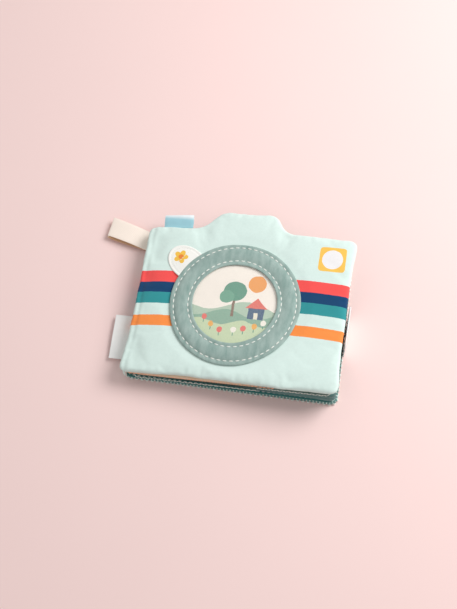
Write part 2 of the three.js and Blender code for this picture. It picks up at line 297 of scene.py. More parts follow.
def add(tree, kind, inputs=None, **settings):
    """Adds a node, sets what it does, then fills or links its inputs, and returns it."""
    node = tree.nodes.new(kind)
    for key, value in settings.items():
        setattr(node, key, value)
    for key, value in (inputs or {}).items():
        if isinstance(value, bpy.types.NodeSocket):
            tree.links.new(value, node.inputs[key])
        else:
            node.inputs[key].default_value = value
    return node


def maths(tree, operation, *values):
    """What one Math node makes of its values, which are numbers or sockets."""
    return add(tree, "ShaderNodeMath", dict(enumerate(values)), operation=operation).outputs[0]


def empty_finish(name):
    """A new material with nothing in its node tree."""
    finish = bpy.data.materials.new(name)
    finish.use_nodes = True
    finish.node_tree.nodes.clear()
    return finish, finish.node_tree


def mixed(tree, share, first, second, blend="MIX"):
    """One colour over another, by a share from 0 to 1."""
    node = add(tree, "ShaderNodeMix", {0: share, 6: first, 7: second}, data_type="RGBA", blend_type=blend)
    return node.outputs[2]


def noise(tree, where, size, detail):
    """Random mottling from 0 to 1, whose patches are about as large as a size."""
    settings = {"Vector": where, "Scale": 1 / size, "Detail": detail}
    return add(tree, "ShaderNodeTexNoise", settings).outputs[0]


def around_zero(tree, value):
    """A value from 0 to 1, moved to lie between -0.5 and 0.5."""
    return maths(tree, "SUBTRACT", value, 0.5)


def ramped(tree, value, start, end):
    """How far a value has come from start to end, from 0 to 1."""
    return add(tree, "ShaderNodeMapRange", {0: value, 1: start, 2: end, 3: 0.0, 4: 1.0}).outputs[0]


def shaded(tree, base, tone):
    """A colour made lighter or darker by a factor."""
    grey = add(tree, "ShaderNodeCombineColor", {0: tone, 1: tone, 2: tone})
    return mixed(tree, 1.0, base, grey.outputs[0], "MULTIPLY")


def relief_of(tree, height, strength, depth):
    """The way a surface faces once a fine relief is laid on it."""
    settings = {"Height": height, "Strength": strength, "Distance": depth}
    return add(tree, "ShaderNodeBump", settings).outputs[0]


def end_with(tree, settings):
    """Ends a finish with the shader that the light meets."""
    shader = add(tree, "ShaderNodeBsdfPrincipled", settings)
    add(tree, "ShaderNodeOutputMaterial", {"Surface": shader.outputs[0]})


def plain_weave(tree, where, facing, thread):
    """Height of a plain weave from 0 to 1: threads cross over and under along whichever plane faces out."""
    places = add(tree, "ShaderNodeSeparateXYZ", {0: where})
    normal = add(tree, "ShaderNodeSeparateXYZ", {0: facing})
    waves = [
        maths(tree, "SINE", maths(tree, "MULTIPLY", places.outputs[axis], math.pi / thread))
        for axis in range(3)
    ]
    total = None
    for axis in range(3):
        first, second = waves[(axis + 1) % 3], waves[(axis + 2) % 3]
        crossing = maths(tree, "MULTIPLY", first, second)
        weight = maths(tree, "ABSOLUTE", normal.outputs[axis])
        total = maths(tree, "MULTIPLY", crossing, weight) if total is None else maths(
            tree, "MULTIPLY_ADD", crossing, weight, total)
    return maths(tree, "MULTIPLY_ADD", total, 0.5, 0.5)


# %% [markdown]
# ### Woven cotton
# Most of the album is dyed cotton poplin. Its threads lie about 0.3 mm apart, which is too fine to
# show at this size, so they are drawn at 0.8 mm. Cotton has no gloss: it is rough, with a soft
# sheen of loose fibres at grazing angles, and it is never quite one colour, because the dye takes
# unevenly and a finger's handling rubs it. The same function makes every cotton; a print is laid over the
# dye by a function of its own.

# %% Woven cotton
POPLIN_THREAD = 0.8 * MM
DYE_PATCH = 28 * MM
SLUB = 2.2 * MM


def plain_behind_window(tree, where, facing, inward, ink, plain):
    """Ink that stops behind a cover's window, on the side of the cloth that faces inward."""
    places = add(tree, "ShaderNodeSeparateXYZ", {0: where})
    normal = add(tree, "ShaderNodeSeparateXYZ", {0: facing})
    inner = maths(tree, "GREATER_THAN", maths(tree, "MULTIPLY", normal.outputs[2], inward), 0.5)
    beside = maths(tree, "ABSOLUTE", maths(tree, "SUBTRACT", places.outputs[0], WINDOW_CENTRE))
    behind = maths(tree, "LESS_THAN", beside, film_size.x / 2)
    return mixed(tree, maths(tree, "MULTIPLY", inner, behind), ink, plain)


def cotton(name, dye, printed=None, inward=0, thread=POPLIN_THREAD, relief=0.05 * MM, sheen=0.15, depth=0.0):
    """Dyed cotton. printed lays ink over the dye, and inward, -1 for down or 1 for up, is the side on
    which it stays plain behind a window. depth is how far light spreads inside a thin cloth."""
    finish, tree = empty_finish(name)
    coordinates = add(tree, "ShaderNodeTexCoord")
    where, facing = coordinates.outputs["Object"], coordinates.outputs["Normal"]
    weave = plain_weave(tree, where, facing, thread)
    patches = noise(tree, where, DYE_PATCH, 3.0)
    slubs = noise(tree, where, SLUB, 4.0)
    plain = colour(dye)
    base = plain if printed is None else printed(tree, where, plain)
    if inward:
        base = plain_behind_window(tree, where, facing, inward, base, plain)
    tone = maths(tree, "MULTIPLY_ADD", patches, 0.10, 0.94)
    tone = maths(tree, "MULTIPLY_ADD", around_zero(tree, slubs), 0.10, tone)
    # The weave's valleys are painted a shade darker than its crests: painted shade between the threads.
    tone = maths(tree, "MULTIPLY_ADD", around_zero(tree, weave), 0.07, tone)
    height = maths(tree, "MULTIPLY_ADD", slubs, 0.6, weave)
    end_with(tree, {
        "Base Color": shaded(tree, base, tone),
        "Roughness": maths(tree, "MULTIPLY_ADD", slubs, 0.12, 0.80),
        "Normal": relief_of(tree, height, 0.7, relief),
        "IOR": 1.5, "Specular IOR Level": 0.2, "Sheen Weight": sheen, "Sheen Roughness": 0.6,
        "Subsurface Weight": 0.7 if depth else 0.0, "Subsurface Radius": (1.0, 1.0, 1.0),
        "Subsurface Scale": depth})
    return finish


print("Cotton threads are drawn at", round(POPLIN_THREAD * 1000, 1), "mm")

# %% [markdown]
# ### The print on the covers
# The mint cloth is printed with bands that run round the album like the leather of an old camera:
# coral, navy and teal side by side, a gap, then orange. The stuffed cover bends them into a shallow
# arc. A colour ramp with hard steps is the simplest print with bands, and a little noise on its edge
# keeps the ink from ending in a ruled line. A yellow square with a white disc stands for the flash.
# Behind the windows inside the covers the cloth is plain mint.

# %% The print on the covers
MINT = "#dcefe8"
BAND_SPAN = 80 * MM
BAND_EDGES = [
    (-28.0 * MM, "#ff9447"), (-16.9 * MM, MINT), (-4.7 * MM, "#2f9599"), (6.8 * MM, "#003f6c"),
    (17.3 * MM, "#fb5553"), (29.0 * MM, MINT),
]
BAND_RISE = 1.2 * MM
BAND_CROWN = 3.6 * MM
SQUARE_CENTRE = Vector((80.0 * MM, 55.8 * MM))
SQUARE_HALF = Vector((12.6 * MM, 12.6 * MM))
FLASH_RADIUS = 9.8 * MM
CORNER_POWER = 9.0
BAND_RAGGED = 0.5 * MM
SQUARE_RAGGED = 0.7 * MM


def bands(tree, where, base):
    """The four bands, laid over the dye."""
    places = add(tree, "ShaderNodeSeparateXYZ", {0: where})
    along = maths(tree, "DIVIDE", places.outputs[0], half_width)
    crown = maths(tree, "MULTIPLY_ADD", maths(tree, "MULTIPLY", along, along), BAND_CROWN, -BAND_CROWN)
    lift = maths(tree, "MULTIPLY_ADD", along, -BAND_RISE, crown)
    height = maths(tree, "ADD", places.outputs[1], lift)
    ragged = around_zero(tree, noise(tree, where, 3 * MM, 2.0))
    height = maths(tree, "MULTIPLY_ADD", ragged, BAND_RAGGED, height)
    share = maths(tree, "MULTIPLY_ADD", height, 1 / BAND_SPAN, 0.5)
    ramp = add(tree, "ShaderNodeValToRGB", {0: share})
    ramp.color_ramp.interpolation = "CONSTANT"
    steps = ramp.color_ramp.elements
    steps.remove(steps[1])
    steps[0].color = base
    for edge, ink in BAND_EDGES:
        steps.new(edge / BAND_SPAN + 0.5).color = colour(ink)
    return ramp.outputs[0]


def bands_and_flash(tree, where, base):
    """The front cover's print: the bands, and the yellow square with its white disc."""
    under = bands(tree, where, base)
    ragged = around_zero(tree, noise(tree, where, 5 * MM, 2.0))
    places = add(tree, "ShaderNodeSeparateXYZ", {0: where})
    sides = []
    for axis in range(2):
        offset = maths(tree, "SUBTRACT", places.outputs[axis], SQUARE_CENTRE[axis])
        offset = maths(tree, "MULTIPLY_ADD", ragged, SQUARE_RAGGED, offset)
        sides.append(maths(tree, "ABSOLUTE", offset))
    powers = []
    for side, half in zip(sides, SQUARE_HALF):
        powers.append(maths(tree, "POWER", maths(tree, "DIVIDE", side, half), CORNER_POWER))
    square = maths(tree, "LESS_THAN", maths(tree, "ADD", *powers), 1.0)
    squares = [maths(tree, "MULTIPLY", side, side) for side in sides]
    disc = maths(tree, "LESS_THAN", maths(tree, "ADD", *squares), FLASH_RADIUS ** 2)
    return mixed(tree, disc, mixed(tree, square, under, colour("#fbc75a")), colour("#f3f0f0"))


PAGES = {
    (1, "front"): ("coral_cotton", "#f0897a"),
    (1, "back"): ("peach_cotton", "#f6d9be"),
    (2, "front"): ("sea_green_cotton", "#6fb3a2"),
    (2, "back"): ("pale_sea_green_cotton", "#9ccabd"),
    (3, "front"): ("navy_cotton", "#24405f"),
    (3, "back"): ("teal_cotton", "#3f7f7c"),
}
front_cotton = cotton("printed_mint_cotton", MINT, bands_and_flash, -1)
mint_cotton = cotton("banded_mint_cotton", MINT, bands, 1)
backing_cotton = cotton("white_backing_cotton", "#f7f4ec")
page_cottons = {page: cotton(name, dye) for page, (name, dye) in PAGES.items()}
print("Cottons made:", 3 + len(page_cottons))

# %% [markdown]
# ### Felt, thread, film and ribbon
# The lens ring is brushed felt: matted wool with no threads to see, mottled in two close tones, and
# velvety at its edges. Sewing thread is twisted polyester with a slight gloss. The windows are soft clear
# vinyl, which is a shade hazy and picks up a broad highlight. The ribbon is satin, whose long floats
# all lie one way, so its gloss is drawn out across them.

# %% Felt, thread, film and ribbon
DYE_AND_SHADE_CHANGE = (0 * MM, 50 * MM)
THREAD_RIDGE = 1.2 * MM
SATIN_RIB = 0.9 * MM


def felt(name, light, dark):
    """Brushed felt, combed one way, mottled between two tones."""
    finish, tree = empty_finish(name)
    where = add(tree, "ShaderNodeTexCoord").outputs["Object"]
    combing = {"Vector": where, "Rotation": (0, 0, 0.5), "Scale": (1, 0.35, 1)}
    brushed = add(tree, "ShaderNodeMapping", combing).outputs[0]
    clouds = noise(tree, brushed, 5 * MM, 5.0)
    fibres = noise(tree, where, 0.7 * MM, 3.0)
    base = mixed(tree, ramped(tree, clouds, 0.3, 0.7), colour(dark), colour(light))
    height = maths(tree, "MULTIPLY_ADD", clouds, 0.8, fibres)
    end_with(tree, {
        "Base Color": shaded(tree, base, maths(tree, "MULTIPLY_ADD", fibres, 0.34, 0.82)),
        "Roughness": maths(tree, "MULTIPLY_ADD", fibres, 0.1, 0.88),
        "Normal": relief_of(tree, height, 0.8, 0.12 * MM),
        "IOR": 1.5, "Specular IOR Level": 0.2, "Sheen Weight": 0.35, "Sheen Roughness": 0.5})
    return finish


def thread_finish(name, dye, fore_dye_and_shade=None):
    """Twisted polyester thread with slanting ridges. Its second colour, if given, is its colour towards the
    fore edge; on the leaves this change is partly the threads' own colours and partly painted shade.
    """
    finish, tree = empty_finish(name)
    where = add(tree, "ShaderNodeTexCoord").outputs["Object"]
    tilted = add(tree, "ShaderNodeMapping", {"Vector": where, "Rotation": (0.4, 0.3, 0.7)}).outputs[0]
    ridges = {"Vector": tilted, "Scale": 1 / THREAD_RIDGE, "Distortion": 1.5}
    twist = add(tree, "ShaderNodeTexWave", ridges).outputs[1]
    base = colour(dye)
    if fore_dye_and_shade is not None:
        across = add(tree, "ShaderNodeSeparateXYZ", {0: where}).outputs[0]
        base = mixed(tree, ramped(tree, across, *DYE_AND_SHADE_CHANGE), base, colour(fore_dye_and_shade))
    # The twist's ridges are painted lighter and its grooves darker: painted shade.
    end_with(tree, {
        "Base Color": shaded(tree, base, maths(tree, "MULTIPLY_ADD", twist, 0.14, 0.88)),
        "Roughness": 0.55, "Normal": relief_of(tree, twist, 0.6, 0.05 * MM),
        "IOR": 1.5, "Specular IOR Level": 0.4, "Sheen Weight": 0.1})
    return finish


def vinyl(name, haze):
    """Soft clear vinyl. haze is how much of its own pale colour it lays over what is behind it."""
    finish, tree = empty_finish(name)
    where = add(tree, "ShaderNodeTexCoord").outputs["Object"]
    waves = noise(tree, where, 26 * MM, 1.0)
    rub = noise(tree, where, 4 * MM, 4.0)
    end_with(tree, {
        "Base Color": colour("#f3fafb"), "Roughness": maths(tree, "MULTIPLY_ADD", rub, 0.10, 0.08),
        "Normal": relief_of(tree, waves, 0.5, 1.2 * MM),
        "IOR": 1.53, "Alpha": haze, "Specular IOR Level": 0.8})
    return finish


def satin(name, dye, floats, fold=None):
    """Satin. floats is the axis across which its ribs lie, and fold is a painted highlight near a fold: from
    y, to y, tint.
    """
    finish, tree = empty_finish(name)
    where = add(tree, "ShaderNodeTexCoord").outputs["Object"]
    places = add(tree, "ShaderNodeSeparateXYZ", {0: where})
    ribs = maths(tree, "SINE", maths(tree, "MULTIPLY", places.outputs[floats], 2 * math.pi / SATIN_RIB))
    cloudy = noise(tree, where, 7 * MM, 3.0)
    tone = maths(tree, "MULTIPLY_ADD", cloudy, 0.12, 0.92)
    # The ribs are painted lighter on their crests and darker between them: painted shade.
    tone = maths(tree, "MULTIPLY_ADD", ribs, 0.025, tone)
    base = colour(dye)
    if fold is not None:
        start, end, tint = fold
        base = mixed(tree, ramped(tree, places.outputs[1], start, end), base, colour(tint))
    end_with(tree, {
        "Base Color": shaded(tree, base, tone),
        "Roughness": maths(tree, "MULTIPLY_ADD", cloudy, 0.12, 0.30),
        "Normal": relief_of(tree, ribs, 0.35, 0.04 * MM),
        "IOR": 1.5, "Anisotropic": 0.5, "Sheen Weight": 0.15})
    return finish


ring_felt = felt("brushed_wool_felt", "#a9bdb6", "#89a39c")
white_thread = thread_finish("white_polyester_thread", "#f4f6ee")
grey_green_thread = thread_finish("grey_green_polyester_thread", "#64908b")
# The leaves' threads change colour along the edge: partly their own colours, partly painted shade. The
# near-black and dark green stand for the shaded gaps under the cover and between the leaves.
leaf_threads = {
    1: thread_finish("sage_to_green_thread", "#a3b39d", "#0b4f43"),
    2: thread_finish("green_to_grey_thread", "#05332c", "#4f7976"),
    3: thread_finish("navy_to_grey_thread", "#051c26", "#5a8280"),
}
peach_thread = thread_finish("peach_polyester_thread", "#e39a78")
window_vinyl = vinyl("clear_window_vinyl", 0.06)
pocket_vinyl = vinyl("clear_pocket_vinyl", 0.22)
print("Finishes so far:", len(bpy.data.materials))

# %% [markdown]
# ## The camera outline
# Covers and leaves share one outline: a sheet with rounded corners and the hump of a viewfinder. It is
# modelled as a designer would rough it out. A plane is stretched to size, and two cuts mark the feet of
# the hump. The edge between them is lifted a little, because the top edge bows, then it is pulled up and
# narrowed, and bevelled corners round everything.

# %% The camera outline


def camera_plate(left, inset, short=0.0):
    """A flat face with the album's outline. inset draws it in all round, and short cuts it at the right."""
    start_clean()
    far = half_width - inset - short
    top = half_height - inset
    feet = HUMP_FEET
    narrowing = (HUMP_CREST[1] - HUMP_CREST[0]) / (feet[1] - feet[0])
    crest_centre = (HUMP_CREST[0] - feet[0] * narrowing) / (1 - narrowing)
    bpy.ops.mesh.primitive_plane_add(size=1, enter_editmode=True)
    bpy.ops.transform.resize(value=(far - left, 2 * top, 1))
    bpy.ops.transform.translate(value=((left + far) / 2, 0, 0))
    for foot in feet:
        bpy.ops.mesh.select_all(action="SELECT")
        bpy.ops.mesh.bisect(plane_co=(foot, 0, 0), plane_no=(1, 0, 0))
    pick("EDGE", lambda edge: all(
        abs(v.co.y - top) < NEAR and feet[0] - NEAR <= v.co.x <= feet[1] + NEAR for v in edge.verts))
    bpy.ops.transform.translate(value=(0, TOP_EDGE_BOW, 0))
    bpy.ops.mesh.extrude_region_move(TRANSFORM_OT_translate={"value": (0, HUMP_RISE, 0)})
    bpy.ops.transform.resize(value=(narrowing, 1, 1), center_override=(crest_centre, 0, 0))
    bpy.ops.mesh.select_all(action="SELECT")
    bpy.ops.mesh.dissolve_limited(angle_limit=0.001)
    pick("VERT", lambda v: abs(abs(v.co.y) - top) < NEAR and (
        abs(v.co.x - left) < NEAR or abs(v.co.x - far) < NEAR))
    bpy.ops.mesh.bevel(offset=CORNER_RADIUS - inset, segments=6, affect="VERTICES")
    pick("VERT", lambda v: v.co.y > top + TOP_EDGE_BOW - NEAR)
    bpy.ops.mesh.bevel(offset=HUMP_ROUNDING, segments=8, affect="VERTICES")
    bpy.ops.object.mode_set(mode="OBJECT")
    return bpy.context.object


def outline_of(left, inset, short=0.0):
    """The outline's points in order, as an array, from a plate that is made for it and thrown away."""
    plate = camera_plate(left, inset, short)
    corners = [plate.data.vertices[i].co.xy for i in plate.data.polygons[0].vertices]
    bpy.data.objects.remove(plate)
    return np.array(corners)


def signed_area(outline):
    """The area within an outline, below zero where its points run clockwise."""
    ends = np.roll(outline, -1, axis=0)
    return 0.5 * float(np.sum(outline[:, 0] * ends[:, 1] - ends[:, 0] * outline[:, 1]))


def area_of(outline):
    """The area within an outline, whichever way its points run."""
    return abs(signed_area(outline))


def spaced_along(outline, pitch):
    """Evenly spaced places on a closed outline: points, directions along it and directions out of it."""
    ends = np.roll(outline, -1, axis=0)
    lengths = np.linalg.norm(ends - outline, axis=1)
    travelled = np.concatenate([[0], np.cumsum(lengths)])
    count = max(3, round(travelled[-1] / pitch))
    stops = (np.arange(count) + 0.5) * travelled[-1] / count
    sides = np.searchsorted(travelled, stops, side="right") - 1
    share = (stops - travelled[sides]) / lengths[sides]
    places = outline[sides] + (ends - outline)[sides] * share[:, None]
    ahead = (ends - outline)[sides] / lengths[sides][:, None]
    outward = np.stack([ahead[:, 1], -ahead[:, 0]], axis=1)
    return places, ahead, outward if signed_area(outline) > 0 else -outward


def depth_inside(points, outline):
    """How far each point lies from the outline, whichever side of it it is on."""
    nearest = np.full(len(points), np.inf)
    for a, b in zip(outline, np.roll(outline, -1, axis=0)):
        along = b - a
        share = np.clip(((points - a) @ along) / (along @ along), 0, 1)
        nearest = np.minimum(nearest, np.linalg.norm(points - a - share[:, None] * along, axis=1))
    return nearest


cover_outline = outline_of(-half_width, 0)
print("The outline has", len(cover_outline), "points")

# %% [markdown]
# ## Stuffing a panel
# A padded panel starts as a slab with its rim rounded over, and a voxel remesh gives it small even faces.
# The front cover is the one whose face is seen, so the cloth solver blows it up like a pillow while its
# seams stay sewn. Foam can't swell for ever, so each point's way is capped. The other panels show their
# edges and what lies behind a window, and waves along their seams are enough for them.

# %% Stuffing a panel
SWELL_FRAMES = 10
SWELL_PRESSURE = 4.0
SHARP = math.radians(60)


def thicken(plate, low, high):
    """Pulls a flat face out to a closed block between two heights."""
    plate.data.transform(Matrix.Translation((0, 0, low)))
    only(plate)
    bpy.ops.object.mode_set(mode="EDIT")
    bpy.ops.mesh.select_all(action="SELECT")
    bpy.ops.mesh.extrude_region_move(TRANSFORM_OT_translate={"value": (0, 0, high - low)})
    bpy.ops.mesh.select_all(action="SELECT")
    bpy.ops.mesh.normals_make_consistent(inside=False)
    bpy.ops.object.mode_set(mode="OBJECT")
    return plate


def remesh(piece, voxel):
    """Gives a piece small even faces."""
    only(piece)
    piece.data.remesh_voxel_size = voxel
    bpy.ops.object.voxel_remesh()


def round_edges(piece, width, segments=3):
    """Rounds a piece's sharp edges."""
    apply(piece, "BEVEL", width=width, segments=segments, limit_method="ANGLE", angle_limit=SHARP)


def stuffed_slab(left, inset, low, high, rounding, both_sides=False, voxel=2.6 * MM, short=0.0):
    """A slab with the camera's outline and a rounded rim, in small even faces."""
    slab = thicken(camera_plate(left, inset, short), low, high)
    rims = [high, low] if both_sides else [high]
    only(slab)
    bpy.ops.object.mode_set(mode="EDIT")
    pick("EDGE", lambda edge: any(all(abs(v.co.z - rim) < NEAR for v in edge.verts) for rim in rims))
    bpy.ops.mesh.bevel(offset=rounding, segments=5, profile=0.5, affect="EDGES")
    bpy.ops.object.mode_set(mode="OBJECT")
    remesh(slab, voxel)
    return slab


def swell(panel, sewn, cap):
    """Blows a panel up with the cloth solver. Sewn points stay, and cap is how far the rest may go."""
    start = points_of(panel)
    seam = panel.vertex_groups.new(name="sewn")
    seam.add([int(i) for i in np.flatnonzero(sewn)], 1.0, "REPLACE")
    only(panel)
    cloth = panel.modifiers.new("Cloth", "CLOTH")
    cloth.settings.quality = 4
    cloth.settings.mass = 0.3
    cloth.settings.use_pressure = True
    cloth.settings.uniform_pressure_force = SWELL_PRESSURE
    cloth.settings.shrink_min = -0.01
    cloth.settings.effector_weights.gravity = 0
    cloth.settings.vertex_group_mass = "sewn"
    cloth.collision_settings.use_collision = False
    for step in range(1, SWELL_FRAMES + 1):
        bpy.context.scene.frame_set(step)
    bpy.ops.object.modifier_apply(modifier=cloth.name)
    bpy.context.scene.frame_set(1)
    way = points_of(panel) - start
    length = np.maximum(np.linalg.norm(way, axis=1), 1e-9)
    allowed = cap * np.tanh(length / cap)
    move_points(panel, start + way * (allowed / length)[:, None])
    panel.vertex_groups.clear()
    print("  swelled by up to", round(float(allowed.max()) * 1000, 2), "mm")


def uneven(points, wavelength, seed):
    """Smooth random waves between -1 and 1, the same at every run, for the unevenness of handwork."""
    generator = np.random.default_rng(seed)
    total = np.zeros(len(points))
    for _ in range(6):
        angle, phase = generator.uniform(0, 2 * math.pi, 2)
        pace = 2 * math.pi / (wavelength * generator.uniform(0.7, 1.5))
        total += np.sin(pace * (points[:, 0] * math.cos(angle) + points[:, 1] * math.sin(angle)) + phase)
    return total / 6


# %% [markdown]
# ### Cutting a window
# A photo pocket shows through a window with rounded corners. The cutter is a plane with bevelled corners,
# pulled out to a block, and a boolean takes it out of the cloth.

# %% Cutting a window


def rounded_plate(width, height, radius, centre_x=0.0):
    """A flat face with rounded corners."""
    start_clean()
    bpy.ops.mesh.primitive_plane_add(size=1, enter_editmode=True)
    bpy.ops.transform.resize(value=(width, height, 1))
    bpy.ops.transform.translate(value=(centre_x, 0, 0))
    bpy.ops.mesh.select_all(action="SELECT")
    bpy.ops.mesh.bevel(offset=radius, segments=6, affect="VERTICES")
    bpy.ops.object.mode_set(mode="OBJECT")
    return bpy.context.object


def cut_window(cloth):
    """Takes the pocket's window out of a cloth."""
    cutter = thicken(rounded_plate(*WINDOW_SIZE, WINDOW_RADIUS, WINDOW_CENTRE), -half_width, half_width)
    apply(cloth, "BOOLEAN", object=cutter, operation="DIFFERENCE", solver="EXACT")
    bpy.data.objects.remove(cutter)


print("Windows:", [round(side * 1000) for side in WINDOW_SIZE], "mm")

# %% [markdown]
# ### Thread
# A stitch is a short round bead of thread that is half sunk in the cloth. It is modelled once, in a few
# dozen faces, and copied along a seam, so that each seam becomes one mesh.

# %% Thread


def unit_stitch():
    """One stitch a metre long, wide and high, to be scaled where it is sewn in."""
    start_clean()
    bpy.ops.mesh.primitive_uv_sphere_add(segments=8, ring_count=6, radius=0.5, enter_editmode=True)
    bpy.ops.transform.rotate(value=math.pi / 2, orient_axis="Y", center_override=(0, 0, 0))
    pick("VERT", lambda v: v.co.z < -0.2)
    bpy.ops.transform.resize(value=(0.92, 0.92, 0.8), center_override=(0, 0, 0))
    bpy.ops.object.mode_set(mode="OBJECT")
    return bpy.context.object


def unit_loop():
    """One overlock loop: a ring of thread around an edge, open towards the cloth."""
    start_clean()
    bpy.ops.mesh.primitive_torus_add(
        major_segments=14, minor_segments=5, major_radius=1.0, minor_radius=0.13,
        rotation=(0, math.pi / 2, 0))
    bpy.ops.object.transform_apply(location=False, rotation=True, scale=False)
    bpy.ops.object.mode_set(mode="EDIT")
    bpy.ops.mesh.select_all(action="SELECT")
    bpy.ops.mesh.bisect(plane_co=(0, -0.25, 0), plane_no=(0, 1, 0), clear_inner=True, use_fill=True)
    bpy.ops.object.mode_set(mode="OBJECT")
    return bpy.context.object


def sewn_row(name, unit, places):
    """Copies of one stitch at a list of places, as one mesh."""
    base = points_of(unit)
    faces = [list(face.vertices) for face in unit.data.polygons]
    copies = [np.array(place.to_3x3()) @ base.T + np.array(place.translation)[:, None] for place in places]
    rows = [[i + copy * len(base) for i in face] for copy in range(len(places)) for face in faces]
    mesh = bpy.data.meshes.new(name)
    mesh.from_pydata(np.concatenate(copies, axis=1).T.tolist(), [], rows)
    row = bpy.data.objects.new(name, mesh)
    bpy.context.collection.objects.link(row)
    return row


stitch_unit = unit_stitch()
loop_unit = unit_loop()
print("A stitch has", len(stitch_unit.data.polygons), "faces and a loop", len(loop_unit.data.polygons))

# %% [markdown]
# ### Seams
# A seam is a path with stitches at even steps. A running stitch lies on the surface that it holds, found
# by looking straight at it. Dashes stand on an upright edge, and overlock loops go round an edge.

# %% Seams
STEEP = 0.3


def landed(piece, place, direction=(0, 0, -1)):
    """Where a look along a direction, from well outside, first meets a piece, with its normal there."""
    direction = Vector(direction)
    eye = Vector((place[0], place[1], 0)) - direction * half_width
    hit, spot, normal, _ = piece.ray_cast(eye, direction)
    return (spot, normal) if hit else (None, None)


def running_seam(name, unit, piece, path, pitch, size, downwards=True):
    """A running stitch along a closed path, laid on whichever side of a piece it is looked at from.
    Where the ground is steep, a stitch lies as if it were level."""
    spots, ahead, _ = spaced_along(path, pitch)
    look = Vector((0, 0, -1 if downwards else 1))
    places = []
    bpy.context.view_layer.update()
    for spot, along in zip(spots, ahead):
        ground, normal = landed(piece, spot, look)
        if ground is None:
            continue
        normal = -look if normal.dot(look) > -STEEP else normal
        forward = Vector((along[0], along[1], 0))
        forward = (forward - normal * forward.dot(normal)).normalized()
        turn = Matrix((forward, normal.cross(forward), normal)).transposed()
        places.append(Matrix.Translation(ground) @ (turn @ Matrix.Diagonal(size)).to_4x4())
    return sewn_row(name, unit, places)


def around(width, height, radius, centre_x=0.0):
    """The points of a rectangle with rounded corners, in order."""
    turns = np.linspace(0, math.pi / 2, 7)
    rows = []
    for quarter, (side_x, side_y) in enumerate([(1, 1), (-1, 1), (-1, -1), (1, -1)]):
        angles = turns + quarter * math.pi / 2
        across = side_x * (width / 2 - radius) + centre_x + radius * np.cos(angles)
        along = side_y * (height / 2 - radius) + radius * np.sin(angles)
        rows.append(np.stack([across, along], axis=1))
    return np.concatenate(rows)


def edge_dashes(name, unit, outline, pitch, height, size, slant=0.0, span=(-1.0, 1.0), top=1.0):
    """Stitches on an upright edge, within a span of x and below a top y. slant leans them to and fro."""
    spots, ahead, outward = spaced_along(outline, pitch)
    places = []
    for number, (spot, along, out) in enumerate(zip(spots, ahead, outward)):
        if not span[0] <= spot[0] <= span[1] or spot[1] > top:
            continue
        lean = slant if number % 2 else -slant
        forward = Vector((along[0] * math.cos(lean), along[1] * math.cos(lean), math.sin(lean)))
        normal = Vector((out[0], out[1], 0))
        turn = Matrix((forward, normal.cross(forward), normal)).transposed()
        ground = Vector((spot[0], spot[1], height(spot[0])))
        places.append(Matrix.Translation(ground) @ (turn @ Matrix.Diagonal(size)).to_4x4())
    return sewn_row(name, unit, places)


def edge_loops(name, unit, outline, pitch, middle, half, bite, thread):
    """Overlock loops around an edge, each as tall as the cloth is thick where it is."""
    spots, ahead, outward = spaced_along(outline, pitch)
    places = []
    for spot, along, out in zip(spots, ahead, outward):
        centre = Vector((spot[0] - out[0] * bite, spot[1] - out[1] * bite, middle))
        columns = (
            Vector((along[0], along[1], 0)) * thread, Vector((out[0], out[1], 0)) * bite,
            Vector((0, 0, half(spot[0]))))
        places.append(Matrix.Translation(centre) @ Matrix(columns).transposed().to_4x4())
    return sewn_row(name, unit, places)


print("Seams: running stitches, dashes and loops")

# %% [markdown]
# ## The front cover
# The front cover is foam between two cloths that are sewn together round the rim. Two more seams hold it
# down: a channel beside the spine, where the cover bends, and the ring's own seam. What the sewing and the
# filling do to its rim is written down first: where it puckers, where it stands proud and where it is
# tucked under.

# %% The front cover's form
COVER_FLOOR = 0.65 * MM
FILM_FLOOR = 1.25 * MM
COVER_ROUNDING = 3.6 * MM
COVER_CROWN = 1.0 * MM
SWELL_LIMIT = 1.4 * MM
CHANNEL = -94.4 * MM
CHANNEL_WIDTH = 1.5 * MM
CHANNEL_DEPTH = 0.8 * MM
DIMPLE_PITCH = 3.4 * MM
DIMPLE_DEPTH = 0.35 * MM
LENS_CENTRE = Vector((-4.4 * MM, 1.7 * MM))
LENS_RADIUS = 62 * MM
OUTER_SEAM = 58 * MM
INNER_SEAM = 44 * MM
GATHER_PLACE = 64 * MM
GATHER_COUNT = 44
GATHER_DEPTH = 0.20 * MM
PUCKER_PITCH = 8.5 * MM
PUCKER_PLACE = 4 * MM
PUCKER_WIDTH = 3 * MM
FRONT_PUCKER = 0.26 * MM
LUMP_SIZE = 46 * MM
LUMP_HEIGHT = 0.16 * MM
CORNER_DRAW = {
    (1, 1): (1.8 * MM, 0.35),
    (1, -1): (1.6 * MM, 0.35),
    (-1, -1): (3.2 * MM, 0.42),
    (-1, 1): (0.2 * MM, 0.35),
}
FORE_DRAW = 1.0 * MM
TOP_RISE = 0.9 * MM
TOP_RISE_SPANS = ((5 * MM, 20 * MM), (30 * MM, 50 * MM))
LENS_DIP = 1.7 * MM
LENS_DIP_PLACE = -42 * MM
LENS_DIP_WIDTH = 32 * MM
SPINE_DIP = 1.3 * MM
SPINE_DIP_END = 60 * MM
TUCK_SPINE = 1.3 * MM
TUCK_FORE = 1.4 * MM
RIM_BLOCK = 4000


def over_film(points):
    """1 over the pocket's film and 0 away from it."""
    beside_x = np.abs(points[:, 0] - WINDOW_CENTRE) - film_size.x / 2
    beside_y = np.abs(points[:, 1]) - film_size.y / 2
    return 1 - smoothstep(0.5 * MM, 4 * MM, np.maximum(beside_x, beside_y))


def lens_distance(points):
    """How far each point lies from the lens centre, seen from above."""
    return np.hypot(points[:, 0] - LENS_CENTRE.x, points[:, 1] - LENS_CENTRE.y)


